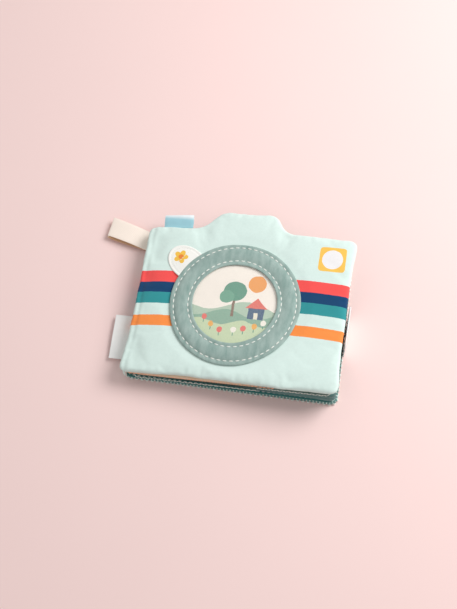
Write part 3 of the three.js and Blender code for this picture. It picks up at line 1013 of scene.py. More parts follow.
def rim_place(points, outline):
    """The place on an outline nearest to each point: how far along it is, and the way out of it."""
    spots, _, outward = spaced_along(outline, MM)
    nearest = np.empty(len(points), int)
    for start in range(0, len(points), RIM_BLOCK):
        block = points[start:start + RIM_BLOCK, :2]
        gaps = (block[:, None, 0] - spots[None, :, 0]) ** 2 + (block[:, None, 1] - spots[None, :, 1]) ** 2
        nearest[start:start + RIM_BLOCK] = gaps.argmin(axis=1)
    return nearest * MM, outward[nearest]


def rim_waves(points, outline, pitch):
    """Waves from 0 to 1 that run along the nearest part of an outline, as a gathered seam makes them."""
    phase = rim_place(points, outline)[0] * 2 * math.pi / pitch
    phase = phase + 1.3 * np.sin(phase * 0.23) + 0.7 * np.sin(phase * 0.61 + 1.0)
    return 0.5 + 0.5 * np.sin(phase)


def pucker_band(rim):
    """Where a sewn rim puckers: 1 a little inside it and less on both sides."""
    return np.exp(-((rim - PUCKER_PLACE) / PUCKER_WIDTH) ** 2)


def hollow_for_film(points):
    """Presses the flat side of a cover's cushion level, with a hollow where the film lies."""
    low = points[:, 2] < COVER_FLOOR + 0.9 * MM
    level = COVER_FLOOR + (FILM_FLOOR - COVER_FLOOR) * over_film(points)
    points[low, 2] = np.maximum(points[low, 2], level[low])
    return points


def with_proud_rim(points):
    """The rim as the filling leaves it: proud at the corners and the fore edge, drawn in below the lens."""
    side_x, side_y = points[:, 0] / half_width, points[:, 1] / half_height
    for (sign_x, sign_y), (draw, start) in CORNER_DRAW.items():
        corner = smoothstep(0.55, 1.0, np.abs(side_x)) * smoothstep(start, 1.0, np.abs(side_y))
        here = (np.sign(side_x) == sign_x) & (np.sign(side_y) == sign_y)
        points[here, 0] += sign_x * draw * corner[here]
    points[:, 0] += FORE_DRAW * smoothstep(0.8, 1.0, side_x)
    rise = sum(TOP_RISE * smoothstep(start, end, points[:, 0]) for start, end in TOP_RISE_SPANS)
    points[:, 1] += rise * smoothstep(0.5, 1.0, side_y)
    dip = LENS_DIP * np.exp(-((points[:, 0] - LENS_DIP_PLACE) / LENS_DIP_WIDTH) ** 2)
    dip += SPINE_DIP * (1 - smoothstep(0, SPINE_DIP_END, points[:, 0]))
    points[:, 1] += dip * smoothstep(0.5, 1.0, -side_y)
    return points


def with_tucked_rim(points, rim):
    """Tucks the lower half of the rim in, because the seam with the lining lies under the edge."""
    low = 1 - smoothstep(0.9 * MM, 3.8 * MM, points[:, 2])
    near = 1 - smoothstep(0, 7 * MM, rim)
    spine_share = 1 - smoothstep(20 * MM, 80 * MM, points[:, 0])
    tuck = TUCK_FORE + (TUCK_SPINE - TUCK_FORE) * spine_share
    tuck = tuck * smoothstep(0, 6 * MM, points[:, 0] + half_width)
    points[:, :2] -= rim_place(points, cover_outline)[1] * (tuck * low * near)[:, None]
    return points


print("Lens seams at", round(OUTER_SEAM * 1000), "and", round(INNER_SEAM * 1000), "mm from its centre")

# %% [markdown]
# ### The front cover's cushion
# The channel is pressed in first, and then the cloth solver blows up what the seams don't hold, so the
# cloth rises out of them as it does on the real one. After that come puckers along the rim, gathers round
# the ring's seam, soft lumps of filling, and dimples where the channel's stitches pull. Last, the rim is
# tucked under and drawn out, and the flat side gets a hollow for the film.

# %% The front cover's cushion
cushion = stuffed_slab(-half_width, 0, COVER_FLOOR, FRONT_THICKNESS - 0.1 * MM, COVER_ROUNDING)
points = points_of(cushion)
beside_channel = (points[:, 0] - CHANNEL) / CHANNEL_WIDTH
upper = smoothstep(2 * MM, 4 * MM, points[:, 2])
points[:, 2] -= CHANNEL_DEPTH * upper * np.exp(-beside_channel ** 2)
move_points(cushion, points)
rim = depth_inside(points[:, :2], cover_outline)
from_lens = lens_distance(points)
sewn = (points[:, 2] < COVER_FLOOR + 1 * MM) | ((rim < 1.5 * MM) & (points[:, 2] < 3 * MM))
sewn |= (np.abs(beside_channel) < 0.9) | (np.abs(from_lens - OUTER_SEAM) < 1.8 * MM)
swell(cushion, sewn, SWELL_LIMIT)
apply(cushion, "SUBSURF", levels=1, render_levels=1)
points = points_of(cushion)
rim = depth_inside(points[:, :2], cover_outline)
from_lens = lens_distance(points)
upper = smoothstep(2.5 * MM, 4.5 * MM, points[:, 2])
crown = COVER_CROWN * smoothstep(LENS_RADIUS, LENS_RADIUS + 13 * MM, from_lens)
ceiling = FRONT_THICKNESS + 0.12 * MM + crown
outside = smoothstep(LENS_RADIUS - 1 * MM, LENS_RADIUS + 2 * MM, from_lens)
waves = rim_waves(points, cover_outline, PUCKER_PITCH)
points[:, 2] -= FRONT_PUCKER * upper * waves * pucker_band(rim)
bearing = np.arctan2(points[:, 1] - LENS_CENTRE.y, points[:, 0] - LENS_CENTRE.x)
gathers = 0.5 + 0.5 * np.sin(GATHER_COUNT * bearing + 2 * np.sin(3 * bearing))
around_lens = np.exp(-((from_lens - GATHER_PLACE) / (4 * MM)) ** 2)
points[:, 2] -= GATHER_DEPTH * outside * gathers * around_lens
points[:, 2] += LUMP_HEIGHT * upper * outside * uneven(points, LUMP_SIZE, 3)
dimples = 0.6 + 0.4 * np.sin(points[:, 1] * 2 * math.pi / DIMPLE_PITCH)
in_channel = np.exp(-((points[:, 0] - CHANNEL) / (1.0 * MM)) ** 2)
points[:, 2] -= DIMPLE_DEPTH * upper * dimples * in_channel
points[:, 2] = np.minimum(points[:, 2], ceiling)
points[:, 0] = np.maximum(points[:, 0], -half_width)
points = with_proud_rim(with_tucked_rim(points, rim))
move_points(cushion, hollow_for_film(points))
front_cushion = finish_piece(
    cushion, "front_cover_cushion", front_cotton, "front_cover", cover_place,
    ("front_cover_outer", "front_cover_wadding"), angle=60)
print("Front cushion:", len(front_cushion.data.polygons), "faces")

# %% [markdown]
# ## Linings and films
# Inside, each cover has a thin lining with a window, and behind the window a clear film holds the photograph.
# The lining is a plain sheet of cloth, so a flat face is pulled out to its thickness and the window is
# cut. A running stitch goes round the window and round the rim, which makes it look sewn on. Along the
# front cover's lower edge the peach thread that sews cover and lining together shows as a row of dashes.

# %% Linings and films
LINING_TOP = 0.6 * MM
LINING_INSET = 2.4 * MM
STITCH = (3.0 * MM, 0.8 * MM, 0.42 * MM)
STITCH_PITCH = 4.9 * MM
WINDOW_SEAM_GAP = 3.2 * MM
RIM_SEAM_GAP = 4.5 * MM
FILM_HEIGHT = 0.92 * MM
FILM_CLOTH = 0.12 * MM
FILM_WAVE = 0.07 * MM
EDGE_STITCH = (3.5 * MM, 0.7 * MM, 0.8 * MM)
EDGE_PITCH = 3.7 * MM
EDGE_HEIGHT = 3.3 * MM
EDGE_SPAN = (-half_width + CORNER_RADIUS, 46 * MM)

window_seam = around(
    WINDOW_SIZE.x + 2 * WINDOW_SEAM_GAP, WINDOW_SIZE.y + 2 * WINDOW_SEAM_GAP,
    WINDOW_RADIUS + WINDOW_SEAM_GAP, WINDOW_CENTRE)
window_area = area_of(around(*WINDOW_SIZE, WINDOW_RADIUS, WINDOW_CENTRE))
rim_seam = outline_of(-half_width + RIM_SEAM_GAP, RIM_SEAM_GAP)


def lining_sheet():
    """A cover's lining, lying from 0 up to its thickness, with its window."""
    sheet = thicken(camera_plate(-half_width + LINING_INSET, LINING_INSET), 0, LINING_TOP)
    cut_window(sheet)
    apply(sheet, "BEVEL", width=0.15 * MM, segments=2, limit_method="ANGLE")
    return sheet


def film_sheet(height, seed):
    """A pocket's film, slightly wavy, at a height that may change along it."""
    start_clean()
    bpy.ops.mesh.primitive_grid_add(x_subdivisions=44, y_subdivisions=30, size=1)
    sheet = bpy.context.object
    sheet.data.transform(Matrix.Translation((WINDOW_CENTRE, 0, 0)) @ Matrix.Diagonal((*film_size, 1, 1)))
    points = points_of(sheet)
    points[:, 2] = height(points[:, 0]) + FILM_WAVE * uneven(points, 55 * MM, seed)
    move_points(sheet, points)
    apply(sheet, "SOLIDIFY", thickness=FILM_CLOTH, offset=0)
    return sheet


def sew_lining(lining, cover, place, downwards):
    """The rows of white stitches round a lining's window and rim."""
    for label, path in [("window", window_seam), ("rim", rim_seam)]:
        seam = running_seam("seam", stitch_unit, lining, path, STITCH_PITCH, STITCH, downwards)
        finish_piece(seam, f"{cover}_lining_{label}_seam", white_thread, cover, place)


lining_area = area_of(outline_of(-half_width + LINING_INSET, LINING_INSET)) - window_area

front_lining = lining_sheet()
sew_lining(front_lining, "front_cover", cover_place, downwards=False)
finish_piece(
    front_lining, "front_cover_lining_cloth", page_cottons[1, "back"], "front_cover",
    cover_place, ("front_cover_lining",))
front_film = finish_piece(
    film_sheet(lambda x: FILM_HEIGHT, 5), "front_cover_window_film", pocket_vinyl, "front_cover",
    cover_place, ("front_cover_pocket_film",))
edge_row = edge_dashes(
    "row", stitch_unit, with_proud_rim(outline_of(-half_width, 0)), EDGE_PITCH, lambda x: EDGE_HEIGHT,
    EDGE_STITCH, span=EDGE_SPAN, top=0.0)
finish_piece(edge_row, "front_cover_edge_seam", peach_thread, "front_cover", cover_place)
print("Lining's area:", round(lining_area * 1e4), "cm2; faces of edge stitches:", len(edge_row.data.polygons))

# %% [markdown]
# ## The back cover
# The back cover is cut like the front one, but it is thinner and upside down, because its padded side lies
# on the table. It is hardly seen, so puckers along its rim and soft lumps are all that its cushion gets.
# An overlock seam binds its edge in grey-green thread, and a row of white stitches runs below it, close
# to the table.

# %% The back cover
LOOP_PITCH = 3.1 * MM
LOOP_THREAD = 8.0 * MM
LOOP_BITE = 1.5 * MM
LOOP_MIDDLE = BACK_THICKNESS * 0.56
LOOP_HALF = BACK_THICKNESS * 0.40
BACK_SHORT = 1.6 * MM
BACK_PUCKER = 0.35 * MM
BACK_LUMP_SIZE = 40 * MM
BACK_LUMP_HEIGHT = 0.12 * MM
BACK_STITCH = (3.0 * MM, 1.3 * MM, 1.6 * MM)
BACK_STITCH_HEIGHT = 1.5 * MM
FULL_CORNER = (3.4 * MM, 1.0 * MM)
LOWER_SHORT = 1.9 * MM
back_lining_place = Matrix.Translation((0, 0, BACK_THICKNESS - LINING_TOP))


def with_full_corner(points):
    """Draws out the corner between the lower and the fore edge, where the filling has gathered."""
    low = -points[:, 1] / half_height
    share = smoothstep(0.7, 0.98, points[:, 0] / half_width) * smoothstep(0.7, 0.98, low)
    points[:, 0] += FULL_CORNER[0] * share
    points[:, 1] -= FULL_CORNER[1] * share
    points[:, 1] += LOWER_SHORT * smoothstep(0.3, 1.0, -points[:, 1] / half_height)
    return points


back_edge_outline = with_full_corner(outline_of(-half_width + 0.2 * MM, 0.2 * MM, BACK_SHORT))

cushion = stuffed_slab(-half_width, 0, COVER_FLOOR, BACK_THICKNESS, 2.4 * MM, short=BACK_SHORT)
apply(cushion, "SUBSURF", levels=1, render_levels=1)
points = points_of(cushion)
rim = depth_inside(points[:, :2], cover_outline)
upper = smoothstep(2 * MM, 3.5 * MM, points[:, 2])
waves = rim_waves(points, cover_outline, PUCKER_PITCH)
points[:, 2] -= BACK_PUCKER * upper * waves * pucker_band(rim)
points[:, 2] -= BACK_LUMP_HEIGHT * upper * (0.5 + 0.5 * uneven(points, BACK_LUMP_SIZE, 8))
points[:, 2] = np.minimum(points[:, 2], BACK_THICKNESS)
points[:, 0] = np.maximum(points[:, 0], -half_width)
move_points(cushion, hollow_for_film(with_full_corner(points)))
turned_over(cushion).data.transform(Matrix.Translation((0, 0, BACK_THICKNESS)))
back_cushion = finish_piece(
    cushion, "back_cover_cushion", mint_cotton, "back_cover", back_place,
    ("back_cover_outer", "back_cover_wadding"), angle=60)

back_lining = lining_sheet()
sew_lining(back_lining, "back_cover", back_lining_place, downwards=True)
finish_piece(
    back_lining, "back_cover_lining_cloth", page_cottons[3, "back"], "back_cover",
    back_lining_place, ("back_cover_lining",))
back_film = finish_piece(
    film_sheet(lambda x: BACK_THICKNESS - FILM_HEIGHT, 6), "back_cover_window_film", pocket_vinyl,
    "back_cover", back_place, ("back_cover_pocket_film",))
loops = edge_loops(
    "loops", loop_unit, back_edge_outline, LOOP_PITCH, LOOP_MIDDLE, lambda x: LOOP_HALF, LOOP_BITE,
    LOOP_THREAD)
finish_piece(loops, "back_cover_overlock", grey_green_thread, "back_cover", back_place)
stitch_outline = with_full_corner(outline_of(-half_width + 0.1 * MM, 0.1 * MM, BACK_SHORT))
edge_row = edge_dashes(
    "row", stitch_unit, stitch_outline, STITCH_PITCH, lambda x: BACK_STITCH_HEIGHT, BACK_STITCH)
finish_piece(edge_row, "back_cover_edge_seam", white_thread, "back_cover", back_place)
print("Back cover done;", len(loops.data.polygons), "faces of overlock thread")

# %% [markdown]
# ## The leaves
# A leaf is a thin cushion, thicker towards the fore edge, with a page of coloured cloth on each side. All
# three leaves are cut and sewn alike, so one is modelled and the others are copies in other cloths.
# The page is the upper half of the leaf's own form, given the thickness of its cloth, so the two pages meet
# in a seam round the edge.

# %% One leaf
LEAF_CLEARANCE = 0.05 * MM
LEAF_ROUNDING = 2.5 * MM
LEAF_BLOCK = 3 * MM
FILM_DEPTH = 1.0 * MM
FILLING_DEPTH = 1.35 * MM
FILLING_INSET = 0.9 * MM
LEAF_PUCKER = 0.22 * MM
LEAF_LUMP_SIZE = 38 * MM
LEAF_LUMP_HEIGHT = 0.08 * MM
PAGE_SEAM_GAP = 4 * MM
PARTING = 0.1 * MM
LEAF_SHORT = 2.2 * MM
leaf_outline = outline_of(PAGE_LEFT, LEAF_INSET, LEAF_SHORT)
page_seam = outline_of(PAGE_LEFT + PAGE_SEAM_GAP, LEAF_INSET + PAGE_SEAM_GAP, LEAF_SHORT)


def leaf_form(inset, depth):
    """The leaf's closed form, drawn in by an inset and lower than its cloth's surface by a depth."""
    form = stuffed_slab(PAGE_LEFT + inset, LEAF_INSET + inset, -LEAF_BLOCK, LEAF_BLOCK, LEAF_ROUNDING,
                        both_sides=True, voxel=2.3 * MM, short=LEAF_SHORT)
    points = points_of(form)
    share = points[:, 2] / LEAF_BLOCK
    half = np.maximum(leaf_half(points[:, 0]) - LEAF_CLEARANCE - depth, 0.12 * MM)
    rim = depth_inside(points[:, :2], leaf_outline)
    waves = rim_waves(points, leaf_outline, PUCKER_PITCH)
    pulled = LEAF_PUCKER * waves * pucker_band(rim)
    pulled += LEAF_LUMP_HEIGHT * (0.5 + 0.5 * uneven(points, LEAF_LUMP_SIZE, 11))
    points[:, 2] = share * np.maximum(half - pulled, 0.1 * MM)
    move_points(form, points)
    return form


page = leaf_form(0, 0)
only(page)
bpy.ops.object.mode_set(mode="EDIT")
bpy.ops.mesh.select_all(action="SELECT")
bpy.ops.mesh.bisect(plane_co=(0, 0, PARTING), plane_no=(0, 0, 1), clear_inner=True)
bpy.ops.object.mode_set(mode="OBJECT")
apply(page, "SOLIDIFY", thickness=PAGE_CLOTH, offset=-1)
cut_window(page)
page_rows = {
    "window_seam": running_seam("row", stitch_unit, page, window_seam, STITCH_PITCH, STITCH),
    "rim_seam": running_seam("row", stitch_unit, page, page_seam, STITCH_PITCH, STITCH),
}
filling = leaf_form(FILLING_INSET, FILLING_DEPTH)
film = film_sheet(lambda x: leaf_half(x) - FILM_DEPTH, 7)
print("A page has", len(page.data.polygons), "faces")

# %% [markdown]
# ### Three leaves and their bindings
# Each leaf gets copies of the same pieces, those of its lower side turned over. A close overlock binds each
# leaf's edge. Its thread changes colour from the spine side towards the fore edge, partly its own colours and
# partly painted shade: the near-black and dark green stand for the shaded gaps under the cover and between
# the leaves. A white zigzag runs along the green part. A narrow strip of the page's cloth binds each leaf on
# the spine side.

# %% Three leaves
BINDING_LEFT = -96.5 * MM
BINDING_RIGHT = -89.6 * MM
BINDING_THICKNESS = 2.0 * MM
LEAF_LOOP_PITCH = 2.4 * MM
LEAF_LOOP_THREAD = 9.5 * MM
LEAF_LOOP_BITE = 2.0 * MM
LEAF_LOOP_SHARE = 0.94
ZIGZAG_CHANGE = 26 * MM
ZIGZAG_PITCH = 2.7 * MM
ZIGZAG_STITCH = (3.4 * MM, 0.6 * MM, 1.0 * MM)
ZIGZAG_SLANT = 0.6
ZIGZAG_OUT = 0.3 * MM
HIGHEST_SHORT = 1.2 * MM
LOWEST_BACK = 1.8 * MM
LOWEST_BACK_END = 50 * MM
binding_length = COVER_HEIGHT - 2 * LEAF_INSET - 2 * CORNER_RADIUS


def soft_block(width, length, thickness, rounding, centre=(0, 0, 0)):
    """A narrow soft strip: a flat face, pulled out, with all its edges rounded."""
    strip = thicken(rounded_plate(width, length, rounding), -thickness / 2, thickness / 2)
    round_edges(strip, rounding)
    strip.data.transform(Matrix.Translation(centre))
    return strip


binding = soft_block(
    BINDING_RIGHT - BINDING_LEFT, binding_length, BINDING_THICKNESS, 0.7 * MM,
    ((BINDING_LEFT + BINDING_RIGHT) / 2, 0, 0))
leaf_loops = edge_loops(
    "loops", loop_unit, leaf_outline, LEAF_LOOP_PITCH, 0.0, lambda x: leaf_half(x) * LEAF_LOOP_SHARE,
    LEAF_LOOP_BITE, LEAF_LOOP_THREAD)
zigzag_outline = outline_of(PAGE_LEFT - ZIGZAG_OUT, LEAF_INSET - ZIGZAG_OUT, LEAF_SHORT)


def leaf_copy(piece, number):
    """A copy for one leaf. The lower two get the drawn-out corner, and the lowest hangs back at its edge."""
    copy = copy_of(piece, "copy")
    points = points_of(copy)
    if number > 1:
        points = with_full_corner(points)
    else:
        points[:, 1] += HIGHEST_SHORT * smoothstep(0.3, 1.0, -points[:, 1] / half_height)
    if number == LEAF_COUNT:
        back = 1 - smoothstep(0, LOWEST_BACK_END, points[:, 0])
        points[:, 1] += LOWEST_BACK * back * smoothstep(0.5, 1.0, -points[:, 1] / half_height)
    move_points(copy, points)
    return copy


for number in range(1, LEAF_COUNT + 1):
    name, place = f"leaf_{number}", leaf_places[number]
    pad = finish_piece(
        leaf_copy(filling, number), f"{name}_filling", backing_cotton, name, place,
        (f"{name}_wadding",))
    for side in ("front", "back"):
        row = {key: leaf_copy(seam, number) for key, seam in page_rows.items()}
        cloth, clear = leaf_copy(page, number), leaf_copy(film, number)
        if side == "back":
            for piece in (cloth, clear, *row.values()):
                turned_over(piece)
        finish_piece(
            cloth, f"{name}_{side}_page_cloth", page_cottons[number, side], name,
            place, (f"{name}_{side}_page",))
        finish_piece(
            clear, f"{name}_{side}_window_film", pocket_vinyl, name, place,
            (f"{name}_{side}_pocket_film",))
        for key, seam in row.items():
            finish_piece(seam, f"{name}_{side}_{key}", white_thread, name, place)
    strip = finish_piece(
        copy_of(binding, "strip"), f"{name}_binding_strip", page_cottons[number, "front"], name,
        place, (f"{name}_binding",))
    finish_piece(
        leaf_copy(leaf_loops, number), f"{name}_overlock", leaf_threads[number], name,
        place)
for number, span in ((1, (ZIGZAG_CHANGE, half_width)), (2, (-half_width, ZIGZAG_CHANGE))):
    zigzag = edge_dashes(
        "zigzag", stitch_unit, zigzag_outline, ZIGZAG_PITCH, lambda x: 0.1 * leaf_half(x),
        ZIGZAG_STITCH, ZIGZAG_SLANT, span)
    finish_piece(
        zigzag, f"leaf_{number}_zigzag", white_thread, f"leaf_{number}", leaf_places[number])
for piece in (page, filling, film, binding, leaf_loops, *page_rows.values()):
    bpy.data.objects.remove(piece)
print("Leaves done:", LEAF_COUNT)

# %% [markdown]
# ## The spine
# The spine is a narrow padded strip between the covers, in the covers' cloth with the bands carried round. It
# stands upright, so it is made lying down and turned up by one matrix. Inside, webs in the leaves' own cloths
# join the lowest leaf to it and each leaf to the next, and each web is cut across in a few places.

# %% The spine
SPINE_FOOT = 2.4 * MM
SPINE_TOP = 13.75 * MM
SPINE_LINING_FOOT = 3.5 * MM
SPINE_LENGTH = 148 * MM
SPINE_FACE = -99.95 * MM
SPINE_PADDING = 2.3 * MM
SPINE_PUCKER = 0.12 * MM
SPINE_SEAM_DIP = 0.55 * MM
WEB_CLOTH = 0.6 * MM
WEB_SHORT = 4 * MM
WEB_CUTS = np.linspace(-0.4, 0.4, 9)
WEB_ROOT = -95.6 * MM
LOWEST_WEB_START = -97 * MM
LOWEST_WEB_REACH = 1.5 * MM
standing = Matrix(((0, 0, -1, 0), (0, 1, 0, 0), (1, 0, 0, 0), (0, 0, 0, 1)))

spine_rise = SPINE_TOP - SPINE_FOOT
spine_rounding = 0.8 * MM
panel = thicken(rounded_plate(spine_rise, SPINE_LENGTH, 2 * spine_rounding), 0, SPINE_PADDING)
round_edges(panel, spine_rounding)
remesh(panel, 0.9 * MM)
points = points_of(panel)
outer = smoothstep(SPINE_PADDING * 0.4, SPINE_PADDING * 0.8, points[:, 2])
across = np.abs(points[:, 0]) / (spine_rise / 2)
points[:, 2] -= SPINE_SEAM_DIP * outer * smoothstep(0.45, 1.0, across)
points[:, 2] -= SPINE_PUCKER * outer * (0.5 + 0.5 * np.sin(points[:, 1] * 2 * math.pi / PUCKER_PITCH))
move_points(panel, points)
panel.data.transform(
    Matrix.Translation((SPINE_FACE + SPINE_PADDING, 0, (SPINE_FOOT + SPINE_TOP) / 2)) @ standing)
spine = finish_piece(
    panel, "spine_cushion", mint_cotton, "back_cover", None, ("spine_outer", "spine_wadding"))
low, high = (Vector(corner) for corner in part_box("spine_lining"))
low.z, high.z = SPINE_LINING_FOOT, SPINE_TOP
inner = soft_block(high.z - low.z, high.y - low.y, 0.55 * MM, 0.2 * MM)
inner.data.transform(Matrix.Translation((low + high) / 2) @ standing)
finish_piece(
    inner, "spine_lining_cloth", backing_cotton, "back_cover", None, ("spine_lining",))


def web(name, start, end, finish):
    """A strip of cloth from one binding to the next, cut across in a few places."""
    middle, way = (start + end) / 2, end - start
    strip = soft_block(way.length, binding_length - WEB_SHORT, WEB_CLOTH, 0.2 * MM)
    only(strip)
    bpy.ops.object.mode_set(mode="EDIT")
    for share in WEB_CUTS:
        bpy.ops.mesh.select_all(action="SELECT")
        bpy.ops.mesh.bisect(plane_co=(share * way.length, 0, 0), plane_no=(1, 0, 0))
    bpy.ops.object.mode_set(mode="OBJECT")
    turn = Matrix.Rotation(-math.atan2(way.z, way.x), 4, "Y")
    strip.data.transform(Matrix.Translation(middle) @ turn)
    finish_piece(strip, name, finish, None)
    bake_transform(strip)


roots = {n: leaf_places[n] @ Vector((WEB_ROOT, 0, 0)) for n in leaf_places}
web("leaf_3_web", Vector((LOWEST_WEB_START, 0, roots[3].z)), roots[3] + Vector((LOWEST_WEB_REACH, 0, 0)),
    page_cottons[3, "front"])
web("leaf_2_web", roots[3], roots[2], page_cottons[2, "front"])
web("leaf_1_web", roots[2], roots[1], page_cottons[1, "front"])
print("Spine from", round(SPINE_FOOT * 1000, 1), "to", round(SPINE_TOP * 1000, 1), "mm")

# %% [markdown]
# ## The lens ring
# The ring is two layers of felt over wadding, held by a line of stitches near each edge, so it swells
# between them like a lifebelt. A cross-section spun round the lens centre gives exactly that, and small dips
# at every stitch keep it from looking turned on a lathe.

# %% The lens ring
RING_FOOT = 0.05 * MM
RING_STEPS = 168
RING_PROFILE = [
    (48.2, 0.0), (61.3, 0.0), (62.0, 0.35), (62.1, 0.9), (61.6, 1.35), (60.4, 1.65), (59.1, 1.6),
    (58.4, 1.45), (58.0, 1.4), (57.5, 1.55), (56.6, 2.1), (55.0, 2.6), (53.0, 2.85), (51.0, 2.95),
    (49.0, 2.9), (47.0, 2.65), (45.4, 2.3), (44.5, 2.05), (44.0, 2.0), (43.5, 2.1), (42.6, 2.4),
    (41.2, 2.6), (40.3, 2.45), (39.9, 2.0), (40.1, 1.25), (41.0, 1.2), (48.2, 1.2), (48.2, 0.6),
]
RING_SEAMS = [("outer", OUTER_SEAM, 62), ("inner", INNER_SEAM, 47)]
RING_STITCH = (4.0 * MM, 1.15 * MM, 0.9 * MM)
RING_GATHER = 0.14 * MM
RING_LUMP = 0.10 * MM
lens_place = cover_place @ Matrix.Translation((*LENS_CENTRE, FRONT_THICKNESS + 0.3 * MM))


def spun(profile, steps):
    """Turns a closed cross-section, given as radius and height in metres, around the upright axis."""
    start_clean()
    bpy.ops.mesh.primitive_circle_add(vertices=len(profile), radius=1, enter_editmode=True)
    section = bmesh.from_edit_mesh(bpy.context.edit_object.data)
    for vertex, (radius, height) in zip(section.verts, profile):
        vertex.co = (radius, 0, height)
    bmesh.update_edit_mesh(bpy.context.edit_object.data)
    bpy.ops.mesh.select_all(action="SELECT")
    bpy.ops.mesh.spin(steps=steps, angle=2 * math.pi, center=(0, 0, 0), axis=(0, 0, 1))
    bpy.ops.mesh.select_all(action="SELECT")
    bpy.ops.mesh.remove_doubles(threshold=NEAR)
    bpy.ops.mesh.normals_make_consistent(inside=False)
    bpy.ops.object.mode_set(mode="OBJECT")
    return bpy.context.object


ring = spun([(radius * MM, height * MM) for radius, height in RING_PROFILE], RING_STEPS)
apply(ring, "SUBSURF", levels=1, render_levels=1)
points = points_of(ring)
radius = np.hypot(points[:, 0], points[:, 1])
bearing = np.arctan2(points[:, 1], points[:, 0])
upper = smoothstep(0.7 * MM, 1.3 * MM, points[:, 2])
for label, seam_radius, count in RING_SEAMS:
    gather = 0.5 + 0.5 * np.cos(count * bearing)
    points[:, 2] -= RING_GATHER * upper * gather * np.exp(-((radius - seam_radius) / (2.2 * MM)) ** 2)
points[:, 2] += RING_LUMP * upper * uneven(points, 30 * MM, 21)
swing = 1 + 0.006 * np.sin(3 * bearing + 0.7) + 0.003 * np.sin(7 * bearing)
points[:, :2] *= np.minimum(swing, 1.004)[:, None]
points[:, 2] += RING_FOOT
move_points(ring, points)


def ring_stitches(name, radius, count):
    """Stitches in a circle, laid on the ring's own surface."""
    places = []
    for number in range(count):
        angle = (number + 0.5) * 2 * math.pi / count
        ground, _ = landed(ring, (radius * math.cos(angle), radius * math.sin(angle)))
        forward = Vector((-math.sin(angle), math.cos(angle), 0))
        turn = Matrix((forward, Vector((0, 0, 1)).cross(forward), Vector((0, 0, 1)))).transposed()
        places.append(Matrix.Translation(ground) @ (turn @ Matrix.Diagonal(RING_STITCH)).to_4x4())
    return sewn_row(name, stitch_unit, places)


bpy.context.view_layer.update()
for label, seam_radius, count in RING_SEAMS:
    row = ring_stitches("row", seam_radius, count)
    finish_piece(row, f"lens_ring_{label}_topstitch", white_thread, "front_cover", lens_place)
finish_piece(ring, "lens_ring_felt", ring_felt, "front_cover", lens_place, ("lens_ring",))
print("Ring:", len(ring.data.polygons), "faces")

# %% [markdown]
# ### The picture and its window
# Behind the ring lies a printed picture, here a plain country scene: two hills, a round tree, a house
# and a sun on cream cloth. Each shape is a test on the place, such as nearer than a radius or below a
# wave, and inks are laid over one another like screens in a print. The picture and the clear window over
# it are low domes, spun as the ring is.

# %% The picture and its window
PICTURE_RADIUS = 47.6 * MM
DISC_STEPS = 96
WOBBLE = 1.6 * MM


def country_scene(tree, where, base):
    """Inks of the picture, laid from the back to the front. Its numbers are millimetres from the middle."""
    to_middle = {"Vector": where, "Location": (-LENS_CENTRE.x, -LENS_CENTRE.y, 0)}
    centred = add(tree, "ShaderNodeMapping", to_middle)
    places = add(tree, "ShaderNodeSeparateXYZ", {0: centred.outputs[0]})
    shift = maths(tree, "MULTIPLY", around_zero(tree, noise(tree, where, 6 * MM, 2.0)), WOBBLE)
    x = maths(tree, "ADD", places.outputs[0], shift)
    y = maths(tree, "ADD", places.outputs[1], shift)
    ink = [base]

    def lay(mask, hex_text):
        ink[0] = mixed(tree, mask, ink[0], colour(hex_text))

    def blob(centre_x, centre_y, radius_x, radius_y):
        across = maths(tree, "DIVIDE", maths(tree, "SUBTRACT", x, centre_x * MM), radius_x * MM)
        along = maths(tree, "DIVIDE", maths(tree, "SUBTRACT", y, centre_y * MM), radius_y * MM)
        squares = [maths(tree, "MULTIPLY", side, side) for side in (across, along)]
        return maths(tree, "LESS_THAN", maths(tree, "ADD", *squares), 1.0)

    def block(low_x, high_x, low_y, high_y):
        inside_x = maths(tree, "COMPARE", x, (low_x + high_x) / 2 * MM, (high_x - low_x) / 2 * MM)
        inside_y = maths(tree, "COMPARE", y, (low_y + high_y) / 2 * MM, (high_y - low_y) / 2 * MM)
        return maths(tree, "MULTIPLY", inside_x, inside_y)

    def below_wave(level, swing, length, phase):
        turns = maths(tree, "MULTIPLY_ADD", x, 2 * math.pi / (length * MM), phase)
        crest = maths(tree, "MULTIPLY_ADD", maths(tree, "SINE", turns), swing * MM, level * MM)
        return maths(tree, "LESS_THAN", y, crest)

    lay(blob(18, 22, 8.5, 8.5), "#f6a34a")
    lay(below_wave(-2, 5, 74, 0.6), "#b9cdb6")
    lay(below_wave(-10, 4, 58, 2.4), "#8fb39b")
    lay(block(-3.2, -0.6, -13, 9), "#8c6f5a")
    lay(blob(-2, 13, 11, 10), "#5f9a80")
    lay(blob(-9, 7, 7, 6.5), "#6fa88c")
    lay(block(13, 28, -14, -3), "#46617f")
    roof = maths(tree, "LESS_THAN", maths(tree, "ADD", y, maths(
        tree, "ABSOLUTE", maths(tree, "SUBTRACT", x, 20.5 * MM))), 7.5 * MM)
    lay(maths(tree, "MULTIPLY", roof, maths(tree, "GREATER_THAN", y, -3 * MM)), "#e9705f")
    lay(block(18.6, 22.4, -14, -7.5), "#f3ead4")
    lay(below_wave(-19, 2.6, 41, 0.2), "#cfdcb4")
    for centre_x, centre_y, petal in [
            (-27, -15, "#ef6f61"), (-20, -22, "#f4b14c"), (-11, -27, "#ef6f61"), (2, -26, "#fbf3e6"),
            (11, -24, "#ef6f61"), (21, -21, "#f4b14c"), (29, -17, "#fbf3e6")]:
        lay(block(centre_x - 0.4, centre_x + 0.4, centre_y - 6, centre_y), "#5f9a80")
        lay(blob(centre_x, centre_y, 2.5, 2.9), petal)
    return ink[0]


